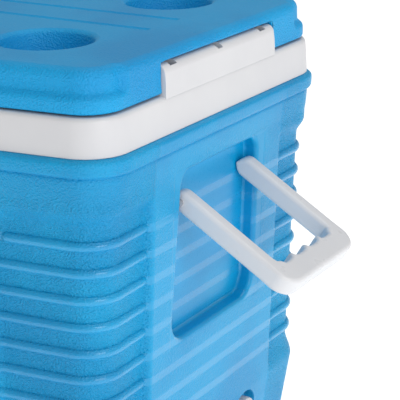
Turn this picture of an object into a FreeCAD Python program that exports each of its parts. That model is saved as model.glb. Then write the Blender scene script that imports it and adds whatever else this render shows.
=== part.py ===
import FreeCAD, Part
import math
import os
import Sketcher
from FreeCAD import Placement, Rotation, Vector

# Wheeled cooler, millimetres.  +Z is up, +X points to the end with the bail
# handle and the lid hinge, -X to the end with the wheels and the tow handle.
# Every level is a height above the ground, and every inset is measured inwards
# from the outline of the rim collar.

doc = FreeCAD.newDocument("wheeled_cooler")
sheet = doc.addObject("Spreadsheet::Sheet", "Sizes")

SIZES = {
    # plan outline of the collar
    "half_length": 290.0,
    "half_width_end": 180.0,
    "side_bow": 22.0,
    "corner_radius": 37.0,
    # heights
    "base_level": 16.0,
    "panel_foot": 106.0,
    "panel_foot_top": 129.0,
    "panel_head_bottom": 342.0,
    "panel_head": 359.0,
    "lip_bottom": 385.0,
    "collar_bottom": 400.0,
    "collar_top": 432.0,
    "lid_bottom": 433.5,
    "lid_top": 469.0,
    # outer shell
    "skin": 4.0,
    "lip_reach": 5.0,
    "end_taper": 0.048,
    "side_taper": 0.010,
    "foot_taper": 0.100,
    "panel_depth": 6.5,
    "panel_side_y": 107.0,
    "panel_side_x": 172.0,
    # ribs round the corners
    "rib_count": 9.0,
    "rib_lowest": 140.0,
    "rib_highest": 327.0,
    "rib_height": 10.0,
    "rib_reach": 3.6,
    "rib_round": 3.5,
    "rib_end_x": 194.0,
    # handle pocket in the end wall
    "pocket_depth": 13.5,
    "pocket_head": 359.0,
    "pocket_step": 322.0,
    "pocket_foot": 208.0,
    "pocket_half_width": 68.0,
    "pocket_half_neck": 64.0,
    "pocket_head_round": 12.0,
    "pocket_foot_round": 22.0,
    # liner and collar
    "mouth_inset": 42.0,
    "liner_wall": 3.0,
    "liner_foot_inset": 70.0,
    "liner_foot": 68.0,
    "liner_corner": 30.0,
    "flange_inset": 8.0,
    "collar_wall": 3.0,
    "collar_draft": 1.7,
    # lid hinge
    "hinge_x": 281.0,
    "hinge_level": 450.0,
    "hinge_block_half": 94.5,
    "hinge_block_front": 8.0,
    "hinge_block_back": 12.0,
    "hinge_knuckle": 8.0,
    "hinge_lug": 5.5,
    "hinge_lug_y": 75.0,
    "hinge_lug_half": 4.5,
    "hinge_pin": 2.5,
    "hinge_notch": 2.5,
    "hinge_gap": 1.2,
    "hinge_back_round": 4.0,
    "hinge_cover_back": 2.0,
    "hinge_cover_side": 0.8,
    "lug_gap": 0.7,
    "fixed_gap": 0.02,
    # lid
    "lid_skin": 3.5,
    "lid_bead_inset": 4.2,
    "lid_bead_round": 3.0,
    "lid_bead_high": 10.5,
    "lid_bead_end": 16.0,
    "lid_round": 9.0,
    "lid_wall_inset": 9.6,
    "lid_boss_half": 144.0,
    "lid_plug_inset": 46.0,
    "lid_plug_bottom": 421.0,
    "gasket_low": 427.0,
    "gasket_high": 432.0,
    "cup_x": 175.5,
    "cup_y": 96.0,
    "cup_radius": 40.0,
    "cup_depth": 24.0,
    "cup_round": 6.0,
    "groove_y": 23.8,
    "groove_half_length": 231.0,
    "groove_radius": 3.0,
    "groove_depth": 1.5,
    # bail handle
    "bail_x": 283.2,
    "bail_level": 333.4,
    "bail_reach": 121.0,
    "bail_half_width": 62.0,
    "bail_arm": 14.0,
    "bail_thick": 18.5,
    "bail_grip": 23.0,
    "bail_scallop": 11.8,
    "bail_scallop_depth": 6.0,
    "bail_corner": 16.0,
    "bail_edge": 3.5,
    "bail_droop": 31.0,
    "bail_pin": 3.0,
    # drain
    "drain_y": 64.0,
    "drain_level": 82.0,
    "drain_recess": 22.0,
    "drain_recess_depth": 8.0,
    "drain_tube": 9.0,
    "drain_bore": 6.5,
    "drain_flange": 10.5,
    "drain_flange_thick": 2.5,
    "drain_ring": 12.0,
    "drain_ring_thick": 2.2,
    "drain_stub": 8.0,
    "drain_cap": 15.0,
    "drain_cap_thick": 11.0,
    "drain_cap_hollow": 6.4,
    "drain_cap_gap": 0.35,
    "drain_cap_seat": 2.6,
    # wheels and axle
    "axle_x": 225.0,
    "wheel_radius": 55.0,
    "hub_radius": 41.0,
    "wheel_inner_y": 142.0,
    "wheel_width": 32.0,
    "well_radius": 62.0,
    "well_y": 138.0,
    "axle_radius": 6.0,
    "running_gap": 0.05,
    "hub_boss": 15.0,
    "hub_rim": 5.0,
    "hub_dish": 9.0,
    "tyre_round": 4.0,
    "axle_over": 5.0,
    "washer_radius": 11.0,
    "washer_thick": 3.0,
    "axle_cap_radius": 12.0,
    "axle_cap_thick": 4.0,
    # feet
    "foot_x": 222.0,
    "foot_y": 112.0,
    "foot_length": 64.0,
    "foot_width": 40.0,
    "foot_round": 6.0,
    "foot_screw_x": 18.0,
    "screw_sink": 6.0,
    "screw_radius": 2.0,
    "screw_head": 4.2,
    "screw_head_thick": 3.0,
    "screw_head_gap": 0.4,
    # tow handle
    "tow_x": 308.0,
    "tow_y": 88.0,
    "guide_radius": 10.0,
    "tube_wall": 1.2,
    "tube_gap": 0.4,
    "guide_foot": 60.0,
    "guide_head": 372.0,
    "middle_tube_lift": 10.0,
    "middle_tube_over": 2.0,
    "inner_tube_lift": 18.0,
    "tow_grip_radius": 12.5,
    "tow_grip_half": 108.0,
    "tow_grip_level": 415.0,
    "tow_grip_round": 6.0,
    "tow_socket_radius": 11.0,
    "tow_socket_foot": 388.0,
    "bracket_upper_foot": 344.0,
    "bracket_lower_foot": 54.0,
    "bracket_lower_head": 92.0,
    "bracket_over": 18.0,
    "bracket_front": 4.0,
    "bracket_round": 5.0,
    "tow_screw_lower": 75.0,
    "tow_screw_upper": 358.0,
    "tow_screw_tip": 262.0,
}

for row, (alias, size) in enumerate(SIZES.items(), start=1):
    sheet.set("A%d" % row, alias)
    sheet.set("B%d" % row, str(size))
    sheet.setAlias("B%d" % row, alias)
doc.recompute()


class Dim:
    """A length that knows its value and the sheet expression it comes from."""

    def __init__(self, value, text):
        self.value = value
        self.text = text

    def __add__(self, other):
        other = dim(other)
        return Dim(self.value + other.value, "(%s + %s)" % (self.text, other.text))

    def __sub__(self, other):
        other = dim(other)
        return Dim(self.value - other.value, "(%s - %s)" % (self.text, other.text))

    def __mul__(self, other):
        other = dim(other)
        return Dim(self.value * other.value, "(%s * %s)" % (self.text, other.text))

    def __truediv__(self, other):
        other = dim(other)
        return Dim(self.value / other.value, "(%s / %s)" % (self.text, other.text))

    def __neg__(self):
        return Dim(-self.value, "(0 - %s)" % self.text)


def dim(length):
    """A Dim from a sheet alias, a plain number or a Dim."""
    if isinstance(length, Dim):
        return length
    if isinstance(length, str):
        return Dim(float(sheet.get(length)), "Sizes." + length)
    return Dim(float(length), "(%r)" % float(length))


def bind(thing, **sizes):
    """Bind each named property to its sheet expression."""
    for name, length in sizes.items():
        thing.setExpression(name.replace("__", "."), dim(length).text)


# ---------------------------------------------------------------- solids

def box(name, low, high):
    """A block between two corners."""
    low = [dim(value) for value in low]
    high = [dim(value) for value in high]
    block = doc.addObject("Part::Box", name)
    bind(block, Length=high[0] - low[0], Width=high[1] - low[1], Height=high[2] - low[2])
    bind(block, Placement__Base__x=low[0], Placement__Base__y=low[1], Placement__Base__z=low[2])
    return block


TURNS = {
    "x": Rotation(Vector(0, 1, 0), 90),
    "y": Rotation(Vector(1, 0, 0), -90),
    "z": Rotation(),
}


def rod(name, radius, length, start, along):
    """A round bar that runs from start in the positive direction of an axis."""
    start = [dim(value) for value in start]
    bar = doc.addObject("Part::Cylinder", name)
    bar.Placement = Placement(Vector(), TURNS[along])
    bind(bar, Radius=radius, Height=length)
    bind(bar, Placement__Base__x=start[0], Placement__Base__y=start[1], Placement__Base__z=start[2])
    return bar


def fuse(name, *shapes):
    union = doc.addObject("Part::MultiFuse", name)
    union.Shapes = list(shapes)
    return union


def cut(name, base, *tools):
    result = doc.addObject("Part::Cut", name)
    result.Base = base
    result.Tool = tools[0] if len(tools) == 1 else fuse(name + "_tools", *tools)
    return result


def common(name, first, second):
    result = doc.addObject("Part::Common", name)
    result.Base = first
    result.Tool = second
    return result


def rounded(name, base, radius, chosen):
    """Fillet the edges of a solid that a test picks."""
    doc.recompute()
    size = dim(radius).value
    result = doc.addObject("Part::Fillet", name)
    result.Base = base
    edges = enumerate(base.Shape.Edges, start=1)
    result.Edges = [(index, size, size) for index, edge in edges if chosen(edge)]
    return result


# ---------------------------------------------------------------- outlines

SIDE_RADIUS = (dim("half_length") * "half_length" + dim("side_bow") * "side_bow") / (dim("side_bow") * 2)
SIDE_CENTRE = SIDE_RADIUS - "half_width_end" - "side_bow"


def origin_plane(body, role):
    for feature in body.Origin.OriginFeatures:
        if feature.Role == role:
            return feature


def new_body(name):
    return doc.addObject("PartDesign::Body", name)


def sketch_on(body, name, role, offset=0):
    sketch = body.newObject("Sketcher::SketchObject", name)
    sketch.AttachmentSupport = [(origin_plane(body, role), "")]
    sketch.MapMode = "FlatFace"
    bind(sketch, AttachmentOffset__Base__z=offset)
    return sketch


def outline(body, name, level, end_inset, side_inset=None, corner=None):
    """The cooler's plan: straight ends, bowed sides and round corners."""
    end = dim("half_length") - end_inset
    bend = SIDE_RADIUS - (end_inset if side_inset is None else side_inset)
    corner = dim("corner_radius" if corner is None else corner)
    sketch = sketch_on(body, name, "XY_Plane", level)

    a, big, small, far = end.value, bend.value, corner.value, SIDE_CENTRE.value
    reach = math.sqrt((big - small) ** 2 - (a - small) ** 2)
    swing = math.atan2(a - small, reach)
    centre_y = reach - far
    up = Vector(0, 0, 1)

    def arc(x, y, radius, start, stop):
        circle = Part.Circle(Vector(x, y, 0), up, radius)
        return sketch.addGeometry(Part.ArcOfCircle(circle, start, stop), False)

    quarter = math.pi / 2
    right = sketch.addGeometry(Part.LineSegment(Vector(a, -centre_y, 0), Vector(a, centre_y, 0)), False)
    corner_a = arc(a - small, centre_y, small, 0, quarter - swing)
    back = arc(0, -far, big, quarter - swing, quarter + swing)
    corner_b = arc(small - a, centre_y, small, quarter + swing, 2 * quarter)
    left = sketch.addGeometry(Part.LineSegment(Vector(-a, centre_y, 0), Vector(-a, -centre_y, 0)), False)
    corner_c = arc(small - a, -centre_y, small, 2 * quarter, 3 * quarter - swing)
    front = arc(0, far, big, 3 * quarter - swing, 3 * quarter + swing)
    corner_d = arc(a - small, -centre_y, small, 3 * quarter + swing, 4 * quarter)

    ring = [right, corner_a, back, corner_b, left, corner_c, front, corner_d]
    for this, following in zip(ring, ring[1:] + ring[:1]):
        sketch.addConstraint(Sketcher.Constraint("Tangent", this, 2, following, 1))
    sketch.addConstraint(Sketcher.Constraint("Vertical", right))
    sketch.addConstraint(Sketcher.Constraint("Vertical", left))
    for other in (corner_b, corner_c, corner_d):
        sketch.addConstraint(Sketcher.Constraint("Equal", corner_a, other))
    sketch.addConstraint(Sketcher.Constraint("Equal", back, front))
    sketch.addConstraint(Sketcher.Constraint("PointOnObject", back, 3, -2))
    sketch.addConstraint(Sketcher.Constraint("PointOnObject", front, 3, -2))

    def size(kind, *rest):
        index = sketch.addConstraint(Sketcher.Constraint(kind, *rest[:-1], rest[-1].value))
        sketch.setExpression("Constraints[%d]" % index, rest[-1].text)

    size("Radius", corner_a, corner)
    size("Radius", back, bend)
    size("DistanceX", -1, 1, right, 1, end)
    size("DistanceX", left, 1, -1, 1, end)
    size("DistanceY", back, 3, -1, 1, SIDE_CENTRE)
    size("DistanceY", -1, 1, front, 3, SIDE_CENTRE)
    return sketch


def loft(body, name, kind, sections):
    """A ruled loft through outlines given as (level, insets...) tuples."""
    sketches = [outline(body, "%s_%d" % (name, i), *s) for i, s in enumerate(sections)]
    feature = body.newObject("PartDesign::%sLoft" % kind, name)
    feature.Profile = sketches[0]
    feature.Sections = sketches[1:]
    feature.Ruled = True
    body.Tip = feature
    return feature


def slab(body, name, kind, low, high, *insets):
    """A straight-sided layer of the plan outline between two levels."""
    low, high = dim(low), dim(high)
    sketch = outline(body, name + "_plan", low, *insets)
    feature = body.newObject("PartDesign::" + kind, name)
    feature.Profile = sketch
    bind(feature, Length=high - low)
    if kind == "Pocket":
        feature.Reversed = True
    body.Tip = feature
    return feature


# ---------------------------------------------------------------- outer shell

def wall_insets(level, extra=0):
    """How far the tapered wall stands in from the collar at a level."""
    level = dim(level)
    drop = dim("collar_bottom") - level
    end = drop * "end_taper"
    side = drop * "side_taper"
    if level.value < SIZES["panel_foot"]:
        below = (dim("panel_foot") - level) * "foot_taper"
        end = end + below
        side = side + below
    return end + extra, side + extra


def mirrored_pair(name, low, high):
    """Two blocks, the second mirrored across the XZ plane."""
    front = box(name + "_a", low, high)
    back = box(name + "_b", (low[0], -dim(high[1]), low[2]), (high[0], -dim(low[1]), high[2]))
    return [front, back]


def corner_blocks(name, x, y, low, high):
    """Four blocks that hold the cooler's upright corners."""
    far_x, far_y = dim(400), dim(300)
    near = mirrored_pair(name + "_near", (x, y, low), (far_x, far_y, high))
    away = mirrored_pair(name + "_far", (-far_x, y, low), (-dim(x), far_y, high))
    return near + away


def pocket_tools(name, grow):
    """The handle pocket: a narrow head beside the pivots and a wider foot."""
    margin = dim(30)
    tilt = math.degrees(math.atan(SIZES["end_taper"]))

    def tilted(label, half, low, high, radius, at_top):
        block = doc.addObject("Part::Box", label)
        block.Placement = Placement(Vector(), Rotation(Vector(0, 1, 0), tilt))
        depth = dim("pocket_depth") + grow
        bind(block, Length=depth + margin, Width=(dim(half) + grow) * 2, Height=dim(high) - low)
        bind(block, Placement__Base__x=dim("half_length") - wall_insets(low)[0] - depth)
        bind(block, Placement__Base__y=-(dim(half) + grow), Placement__Base__z=low)
        doc.recompute()
        level = block.Shape.BoundBox.ZMax if at_top else block.Shape.BoundBox.ZMin

        def picked(edge):
            flat = abs(edge.tangentAt(0).z) < 0.1 and abs(edge.tangentAt(0).y) < 0.1
            return flat and abs(edge.CenterOfMass.z - level) < 4

        return rounded(label + "_round", block, dim(radius), picked)

    head = tilted(name + "_head", "pocket_half_neck", dim("pocket_step") - 1,
                  dim("pocket_head") + grow, "pocket_head_round", True)
    foot = tilted(name + "_foot", "pocket_half_width", dim("pocket_foot") - grow,
                  "pocket_step", "pocket_foot_round", False)
    return [head, foot]


def well_tools(name, grow, side):
    """One wheel well, open below, outwards and to the wheel end."""
    axle_x, axle_z = -dim("axle_x"), dim("wheel_radius")
    radius = dim("well_radius") + grow
    inner, reach = dim("well_y") - grow, dim(120)
    if side < 0:
        inner, outer = -(inner + reach), -inner
    else:
        outer = inner + reach
    arch = rod(name + "_arch", radius, reach, (axle_x, inner, axle_z), "y")
    behind = box(name + "_behind", (-400, inner, -10), (axle_x, outer, axle_z + radius))
    under = box(name + "_under", (-400, inner, -10), (axle_x + radius, outer, axle_z))
    return [arch, behind, under]


def recess_tools(name, grow):
    """Everything that is sunk into the shell, grown by a wall thickness."""
    wall_x = dim("half_length") - wall_insets("drain_level")[0]
    depth = dim("drain_recess_depth") + grow
    drain = rod(name + "_drain", dim("drain_recess") + grow, depth + 40,
                (wall_x - depth, "drain_y", "drain_level"), "x")
    axle = rod(name + "_axle", dim("axle_radius") + "running_gap" + grow, dim("well_y") * 2,
               (-dim("axle_x"), -dim("well_y"), "wheel_radius"), "y")
    wells = well_tools(name + "_well_l", grow, 1) + well_tools(name + "_well_r", grow, -1)
    return pocket_tools(name + "_pocket", grow) + wells + [drain, axle]


def shell_block(name, grow, bottom):
    """The shell's outside, or with grow the space inside its skin."""
    wall = new_body(name + "_wall")
    round_by = dim("corner_radius") - grow
    levels = ["collar_bottom", "panel_foot", bottom]
    loft(wall, name + "_wall_loft", "Additive",
         [(level, *wall_insets(level, grow), round_by) for level in levels])
    core = new_body(name + "_core")
    deep = dim("panel_depth") + grow
    steps = [("collar_bottom", grow), ("panel_head", grow), ("panel_head_bottom", deep),
             ("panel_foot_top", deep), ("panel_foot", grow), (bottom, grow)]
    loft(core, name + "_core_loft", "Additive",
         [(level, *wall_insets(level, extra), round_by) for level, extra in steps])
    corners = corner_blocks(name + "_corner", dim("panel_side_x") - grow,
                            dim("panel_side_y") - grow, "panel_foot", "panel_head")
    plain = cut(name + "_plain", wall, *corners)
    return fuse(name + "_block", plain, core)


def rib_rings():
    """Nine rounded beads that wrap the four corner panels."""
    rings = []
    count = int(SIZES["rib_count"])
    for i in range(count):
        step = (dim("rib_highest") - "rib_lowest") / (count - 1)
        middle = dim("rib_lowest") + step * i
        body = new_body("rib_%d" % i)
        insets = wall_insets(middle, dim("panel_depth") - "rib_reach")
        pad = slab(body, "rib_pad_%d" % i, "Pad", middle - dim("rib_height") / 2,
                   middle + dim("rib_height") / 2, *insets)
        doc.recompute()
        names = ["Edge%d" % n for n, edge in enumerate(pad.Shape.Edges, start=1)
                 if abs(edge.tangentAt(edge.FirstParameter).z) < 0.01]
        soft = body.newObject("PartDesign::Fillet", "rib_soft_%d" % i)
        soft.Base = (pad, names)
        bind(soft, Radius="rib_round")
        body.Tip = soft
        rings.append(body)
    zones = corner_blocks("rib_zone", "rib_end_x", "panel_side_y", "panel_foot", "panel_head")
    return common("ribs", fuse("rib_stack", *rings), fuse("rib_zones", *zones))


outside = shell_block("outside", dim(0), "base_level")
hollow = shell_block("hollow", dim("skin"), dim("base_level") + "skin")

lip = new_body("lip")
lip_pad = slab(lip, "lip_pad", "Pad", "lip_bottom", "collar_bottom",
               -dim("lip_reach"), -dim("lip_reach"), dim("corner_radius") + "lip_reach")

cavity = cut("cavity", hollow, *recess_tools("inner", dim("skin")))
outer_form = cut("outer_form", fuse("outer_solid", outside, lip, rib_rings()),
                 *recess_tools("outer", dim(0)))

FOOT_SCREWS = [(dim("foot_x") + dim("foot_screw_x") * along, dim("foot_y") * side)
               for side in (1, -1) for along in (-1, 1)]
TOW_SCREWS = [(dim("tow_y") * side / 2, dim(level)) for side in (1, -1)
              for level in ("tow_screw_lower", "tow_screw_upper")]
BAIL_INNER = dim("bail_half_width") - "bail_arm"
tow_hole_x = -(dim("half_length") + 15)

shell_holes = [
    rod("bail_hole_%d" % i, dim("bail_pin") + "fixed_gap", 3.8,
        ("bail_x", start, "bail_level"), "y")
    for i, start in enumerate([dim("pocket_half_neck"), -dim("pocket_half_neck") - 3.8])
]
for i, (x, y) in enumerate(FOOT_SCREWS):
    shell_holes.append(rod("foot_hole_%d" % i, "screw_radius", "skin", (x, y, "base_level"), "z"))
for i, (y, level) in enumerate(TOW_SCREWS):
    shell_holes.append(rod("tow_hole_%d" % i, "screw_radius", 50, (tow_hole_x, y, level), "x"))
shell_holes.append(rod("drain_hole", "drain_tube", 60, (230, "drain_y", "drain_level"), "x"))
body_shell = cut("body_shell", outer_form, cavity, *shell_holes)

# ---------------------------------------------------------------- liner and foam

liner_block = new_body("liner_block")
loft(liner_block, "liner_outer", "Additive", [
    ("collar_bottom", "mouth_inset", "mouth_inset", "liner_corner"),
    ("liner_foot", "liner_foot_inset", "liner_foot_inset", "liner_corner")])
liner_space = new_body("liner_space")
loft(liner_space, "liner_inner", "Additive", [
    (dim("collar_bottom") + "liner_wall", dim("mouth_inset") + "liner_wall",
     dim("mouth_inset") + "liner_wall", "liner_corner"),
    (dim("liner_foot") + "liner_wall", dim("liner_foot_inset") + "liner_wall",
     dim("liner_foot_inset") + "liner_wall", "liner_corner")])
liner_flange = new_body("liner_flange")
slab(liner_flange, "flange_pad", "Pad", "collar_bottom", dim("collar_bottom") + "liner_wall",
     "flange_inset", "flange_inset", dim("corner_radius") - "flange_inset")
drain_through = rod("drain_through", "drain_tube", 60, (200, "drain_y", "drain_level"), "x")
inner_liner = cut("inner_liner", fuse("liner_solid", liner_block, liner_flange),
                  liner_space, drain_through)
foam_core = cut("foam_core", cavity, liner_block,
                rod("drain_foam", "drain_tube", 60, (220, "drain_y", "drain_level"), "x"),
                *[rod("tow_foam_%d" % i, "screw_radius", 50, (tow_hole_x, y, level), "x")
                  for i, (y, level) in enumerate(TOW_SCREWS)])

# ---------------------------------------------------------------- rim collar

collar_ring = new_body("collar_ring")
draft = dim("collar_draft")
loft(collar_ring, "collar_outer", "Additive", [
    ("collar_bottom", 0, 0, "corner_radius"),
    ("collar_top", draft, draft, dim("corner_radius") - draft)])
slab(collar_ring, "collar_mouth", "Pocket", "collar_bottom", "collar_top",
     "mouth_inset", "mouth_inset", "liner_corner")
groove_ring = new_body("groove_ring")
slab(groove_ring, "groove_pad", "Pad", "collar_bottom", dim("collar_top") - "collar_wall",
     dim("collar_wall") + 1, dim("collar_wall") + 1, dim("corner_radius") - "collar_wall")
slab(groove_ring, "groove_core", "Pocket", dim("collar_bottom") + "liner_wall",
     dim("collar_top") - "collar_wall", dim("mouth_inset") - "collar_wall",
     dim("mouth_inset") - "collar_wall", "corner_radius")

hinge_front = dim("hinge_x") + "hinge_block_front"
hinge_back = dim("hinge_x") - "hinge_block_back"
half_block = dim("hinge_block_half")
hinge_low = box("hinge_low", (hinge_back, -half_block, dim("collar_top") - "collar_wall"),
                (hinge_front, half_block, "hinge_level"))
hinge_top = dim("hinge_level") + "hinge_knuckle"
hinge_high = box("hinge_high", (hinge_back, -half_block, dim("collar_top") - "collar_wall"),
                 ("hinge_x", half_block, hinge_top))
hinge_soft = rounded(
    "hinge_soft", hinge_high, "hinge_back_round",
    lambda edge: edge.CenterOfMass.z > hinge_top.value - 0.01
    and edge.CenterOfMass.x < hinge_back.value + 0.01)
hinge_round = rod("hinge_round", "hinge_knuckle", half_block * 2,
                  ("hinge_x", -half_block, "hinge_level"), "y")
hinge_bore = rod("hinge_bore", dim("hinge_pin") + "fixed_gap", half_block * 2,
                 ("hinge_x", -half_block, "hinge_level"), "y")
lug_room = dim("hinge_lug_half") + "lug_gap"
lug_slots = [
    box("lug_slot_%d" % i,
        (hinge_back - 5, dim("hinge_lug_y") * side - lug_room, dim("hinge_level") - "hinge_lug" - 1),
        (dim("hinge_x") + "hinge_lug" + 0.5, dim("hinge_lug_y") * side + lug_room,
         dim("hinge_level") + 20))
    for i, side in enumerate((1, -1))
]
middle_notch = box("middle_notch", (hinge_back - 1, -dim("hinge_notch"), dim("hinge_level") + 3),
                   (hinge_front + 1, "hinge_notch", dim("hinge_level") + 20))
collar_solid = fuse("collar_solid", cut("collar_hollow", collar_ring, groove_ring),
                    hinge_low, hinge_soft, hinge_round)
rim_collar = cut("rim_collar", collar_solid, hinge_bore, middle_notch, *lug_slots)

hinge_pin = rod("hinge_pin", "hinge_pin", (half_block - 1.5) * 2,
                ("hinge_x", -(half_block - 1.5), "hinge_level"), "y")

# ---------------------------------------------------------------- lid

CUPS = [(dim("cup_x") * sx, dim("cup_y") * sy) for sx in (1, -1) for sy in (1, -1)]


def lid_recesses(name, grow):
    """Cup wells and the notch over the hinge block, grown by a wall."""
    tools = []
    depth = dim("cup_depth") + grow
    for i, (x, y) in enumerate(CUPS):
        tools.append(rod("%s_cup_%d" % (name, i), dim("cup_radius") + grow, depth + 20,
                         (x, y, dim("lid_top") - depth), "z"))
    cover = half_block + "hinge_cover_side" + grow
    tools.append(box(name + "_notch",
                     (hinge_back - "hinge_cover_back" - grow, -cover, dim("lid_bottom") - 20),
                     (dim("half_length") + 20, cover, hinge_top + "hinge_gap" + grow)))
    return tools


lid_form = new_body("lid_form")
bead = dim("lid_bead_inset")
bead_foot = bead + "lid_bead_round"


def lid_section(level, inset):
    """A level of the lid, concentric with the collar's outline."""
    return level, inset, inset, dim("corner_radius") - inset


lid_sections = [
    lid_section("lid_bottom", bead_foot),
    lid_section(dim("lid_bottom") + "lid_bead_round", bead),
    lid_section(dim("lid_bottom") + "lid_bead_high", bead),
    lid_section(dim("lid_bottom") + "lid_bead_end", dim("lid_wall_inset"))]
round_steps = 4
for i in range(round_steps + 1):
    turn = math.pi / 2 * i / round_steps
    inset = dim("lid_wall_inset") + dim("lid_round") * (1 - math.cos(turn))
    level = dim("lid_top") - dim("lid_round") * (1 - math.sin(turn))
    lid_sections.append(lid_section(level, inset))
loft(lid_form, "lid_outer", "Additive", lid_sections)
top_level = SIZES["lid_top"]

lid_hollow = new_body("lid_hollow")
skin = dim("lid_skin")
wall_inside = dim("lid_wall_inset") + skin
roof_inside = dim("lid_top") - skin
loft(lid_hollow, "lid_space", "Additive", [
    lid_section("lid_bottom", bead_foot + skin),
    lid_section(dim("lid_bottom") + "lid_bead_round", bead + skin),
    lid_section(dim("lid_bottom") + "lid_bead_high" - skin / 2, bead + skin),
    lid_section(dim("lid_bottom") + "lid_bead_end" - skin / 2, wall_inside),
    lid_section(dim("lid_top") - "lid_round", wall_inside),
    lid_section(roof_inside, wall_inside + "lid_round" - skin - 0.5)])
lid_cavity = cut("lid_cavity", lid_hollow, *lid_recesses("lid_in", skin))
grooves = [
    rod("groove_%d" % i, "groove_radius", dim("groove_half_length") * 2,
        (-dim("groove_half_length"), dim("groove_y") * side,
         dim("lid_top") + "groove_radius" - "groove_depth"), "x")
    for i, side in enumerate((1, -1))
]
boss_face = dim("half_length") - "lid_bead_inset"
boss_block = box("boss_block", (boss_face - 25, -dim("lid_boss_half"), dim("lid_bottom") + "lid_bead_round"),
                 (boss_face, "lid_boss_half", "lid_top"))
boss_soft = rounded(
    "boss_soft", boss_block, "lid_round",
    lambda edge: edge.CenterOfMass.z > top_level - 0.01
    and edge.CenterOfMass.x > boss_face.value - 0.01)
lid_body = cut("lid_body", fuse("lid_bossed", lid_form, boss_soft),
               *(lid_recesses("lid_out", dim(0)) + grooves))
cup_soft = rounded(
    "cup_soft", lid_body, "cup_round",
    lambda edge: isinstance(edge.Curve, Part.Circle)
    and abs(edge.Curve.Radius - SIZES["cup_radius"]) < 0.01
    and abs(edge.CenterOfMass.z - top_level) < 0.01)
lid_skin_form = cut("lid_skin_form", cup_soft, lid_cavity)
lug_parts = []
for i, side in enumerate((1, -1)):
    middle = dim("hinge_lug_y") * side
    low_y = middle - "hinge_lug_half"
    lug_parts.append(rod("lug_eye_%d" % i, "hinge_lug", dim("hinge_lug_half") * 2,
                         ("hinge_x", low_y, "hinge_level"), "y"))
    lug_parts.append(box("lug_web_%d" % i, (hinge_back - 4, low_y, dim("hinge_level") - 5),
                         ("hinge_x", middle + "hinge_lug_half", dim("hinge_level") + 5)))
lug_bore = rod("lug_bore", dim("hinge_pin") + "running_gap", half_block * 2,
               ("hinge_x", -half_block, "hinge_level"), "y")
lid_shell = cut("lid_shell", fuse("lid_with_lugs", lid_skin_form, *lug_parts), lug_bore)

plug = dim("lid_plug_inset")
wall = dim("liner_wall")
plug_corner = dim("liner_corner") - 4
plate_top = dim("lid_bottom") + wall
pan = new_body("pan")
pan_inset = bead_foot + skin + 0.5
slab(pan, "pan_plate", "Pad", "lid_bottom", plate_top, pan_inset, pan_inset,
     dim("corner_radius") - pan_inset)
slab(pan, "pan_plug", "Pad", "lid_plug_bottom", plate_top, plug, plug, plug_corner)
slab(pan, "pan_dish", "Pocket", dim("lid_plug_bottom") + wall, plate_top,
     plug + wall, plug + wall, plug_corner)
lid_liner = cut("lid_liner", pan, *lid_recesses("pan", dim("lid_skin")))

foam_top = new_body("foam_top")
slab(foam_top, "foam_above", "Pad", plate_top, "lid_top", 0, 0, "corner_radius")
foam_above = common("foam_upper", lid_cavity, foam_top)
foam_below = new_body("foam_below")
slab(foam_below, "foam_plug", "Pad", dim("lid_plug_bottom") + wall, plate_top,
     plug + wall, plug + wall, plug_corner)
lid_foam = fuse("lid_foam", foam_above, foam_below)

lid_gasket = new_body("lid_gasket")
slab(lid_gasket, "gasket_outer", "Pad", "gasket_low", "gasket_high", dim("mouth_inset") + 1,
     dim("mouth_inset") + 1, dim("liner_corner") - 1)
slab(lid_gasket, "gasket_inner", "Pocket", "gasket_low", "gasket_high", plug, plug, plug_corner)

# ---------------------------------------------------------------- bail handle

bail_body = new_body("bail_body")
bail_half = dim("bail_half_width")
tail = dim("bail_thick") / 2
bail_plan = sketch_on(bail_body, "bail_plan", "XY_Plane", -tail)


def polygon(sketch, points):
    """A closed loop of lines, each corner held by the two sizes it comes from."""
    corners = [(dim(x), dim(y)) for x, y in points]
    spots = [Vector(x.value, y.value, 0) for x, y in corners]
    first = sketch.GeometryCount
    for a, b in zip(spots, spots[1:] + spots[:1]):
        sketch.addGeometry(Part.LineSegment(a, b), False)
    count = len(corners)
    for i in range(count):
        sketch.addConstraint(Sketcher.Constraint("Coincident", first + i, 2, first + (i + 1) % count, 1))
    for i, (x, y) in enumerate(corners):
        for kind, size in (("DistanceX", x), ("DistanceY", y)):
            index = sketch.addConstraint(Sketcher.Constraint(kind, -1, 1, first + i, 1, size.value))
            sketch.setExpression("Constraints[%d]" % index, size.text)


grip_edge = dim("bail_reach") - "bail_grip"
polygon(bail_plan, [(-tail, -bail_half), ("bail_reach", -bail_half),
                    ("bail_reach", bail_half), (-tail, bail_half),
                    (-tail, BAIL_INNER), (grip_edge, BAIL_INNER),
                    (grip_edge, -BAIL_INNER), (-tail, -BAIL_INNER)])
bail_pad = bail_body.newObject("PartDesign::Pad", "bail_pad")
bail_pad.Profile = bail_plan
bind(bail_pad, Length="bail_thick")
bail_body.Tip = bail_pad
doc.recompute()


def bail_corner(edge):
    centre = edge.CenterOfMass
    upright = abs(edge.tangentAt(edge.FirstParameter).z) > 0.9
    return upright and centre.x > SIZES["bail_reach"] - 1


def edge_names(feature, chosen):
    return ["Edge%d" % n for n, edge in enumerate(feature.Shape.Edges, start=1) if chosen(edge)]


bail_bend = bail_body.newObject("PartDesign::Fillet", "bail_bend")
bail_bend.Base = (bail_pad, edge_names(bail_pad, bail_corner))
bind(bail_bend, Radius="bail_corner")
bail_body.Tip = bail_bend


def bail_rim(edge):
    return abs(abs(edge.CenterOfMass.z) - SIZES["bail_thick"] / 2) < 0.01


bail_soft = bail_body.newObject("PartDesign::Fillet", "bail_soft")
doc.recompute()
bail_soft.Base = (bail_bend, edge_names(bail_bend, bail_rim))
bind(bail_soft, Radius="bail_edge")
bail_body.Tip = bail_soft

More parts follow.
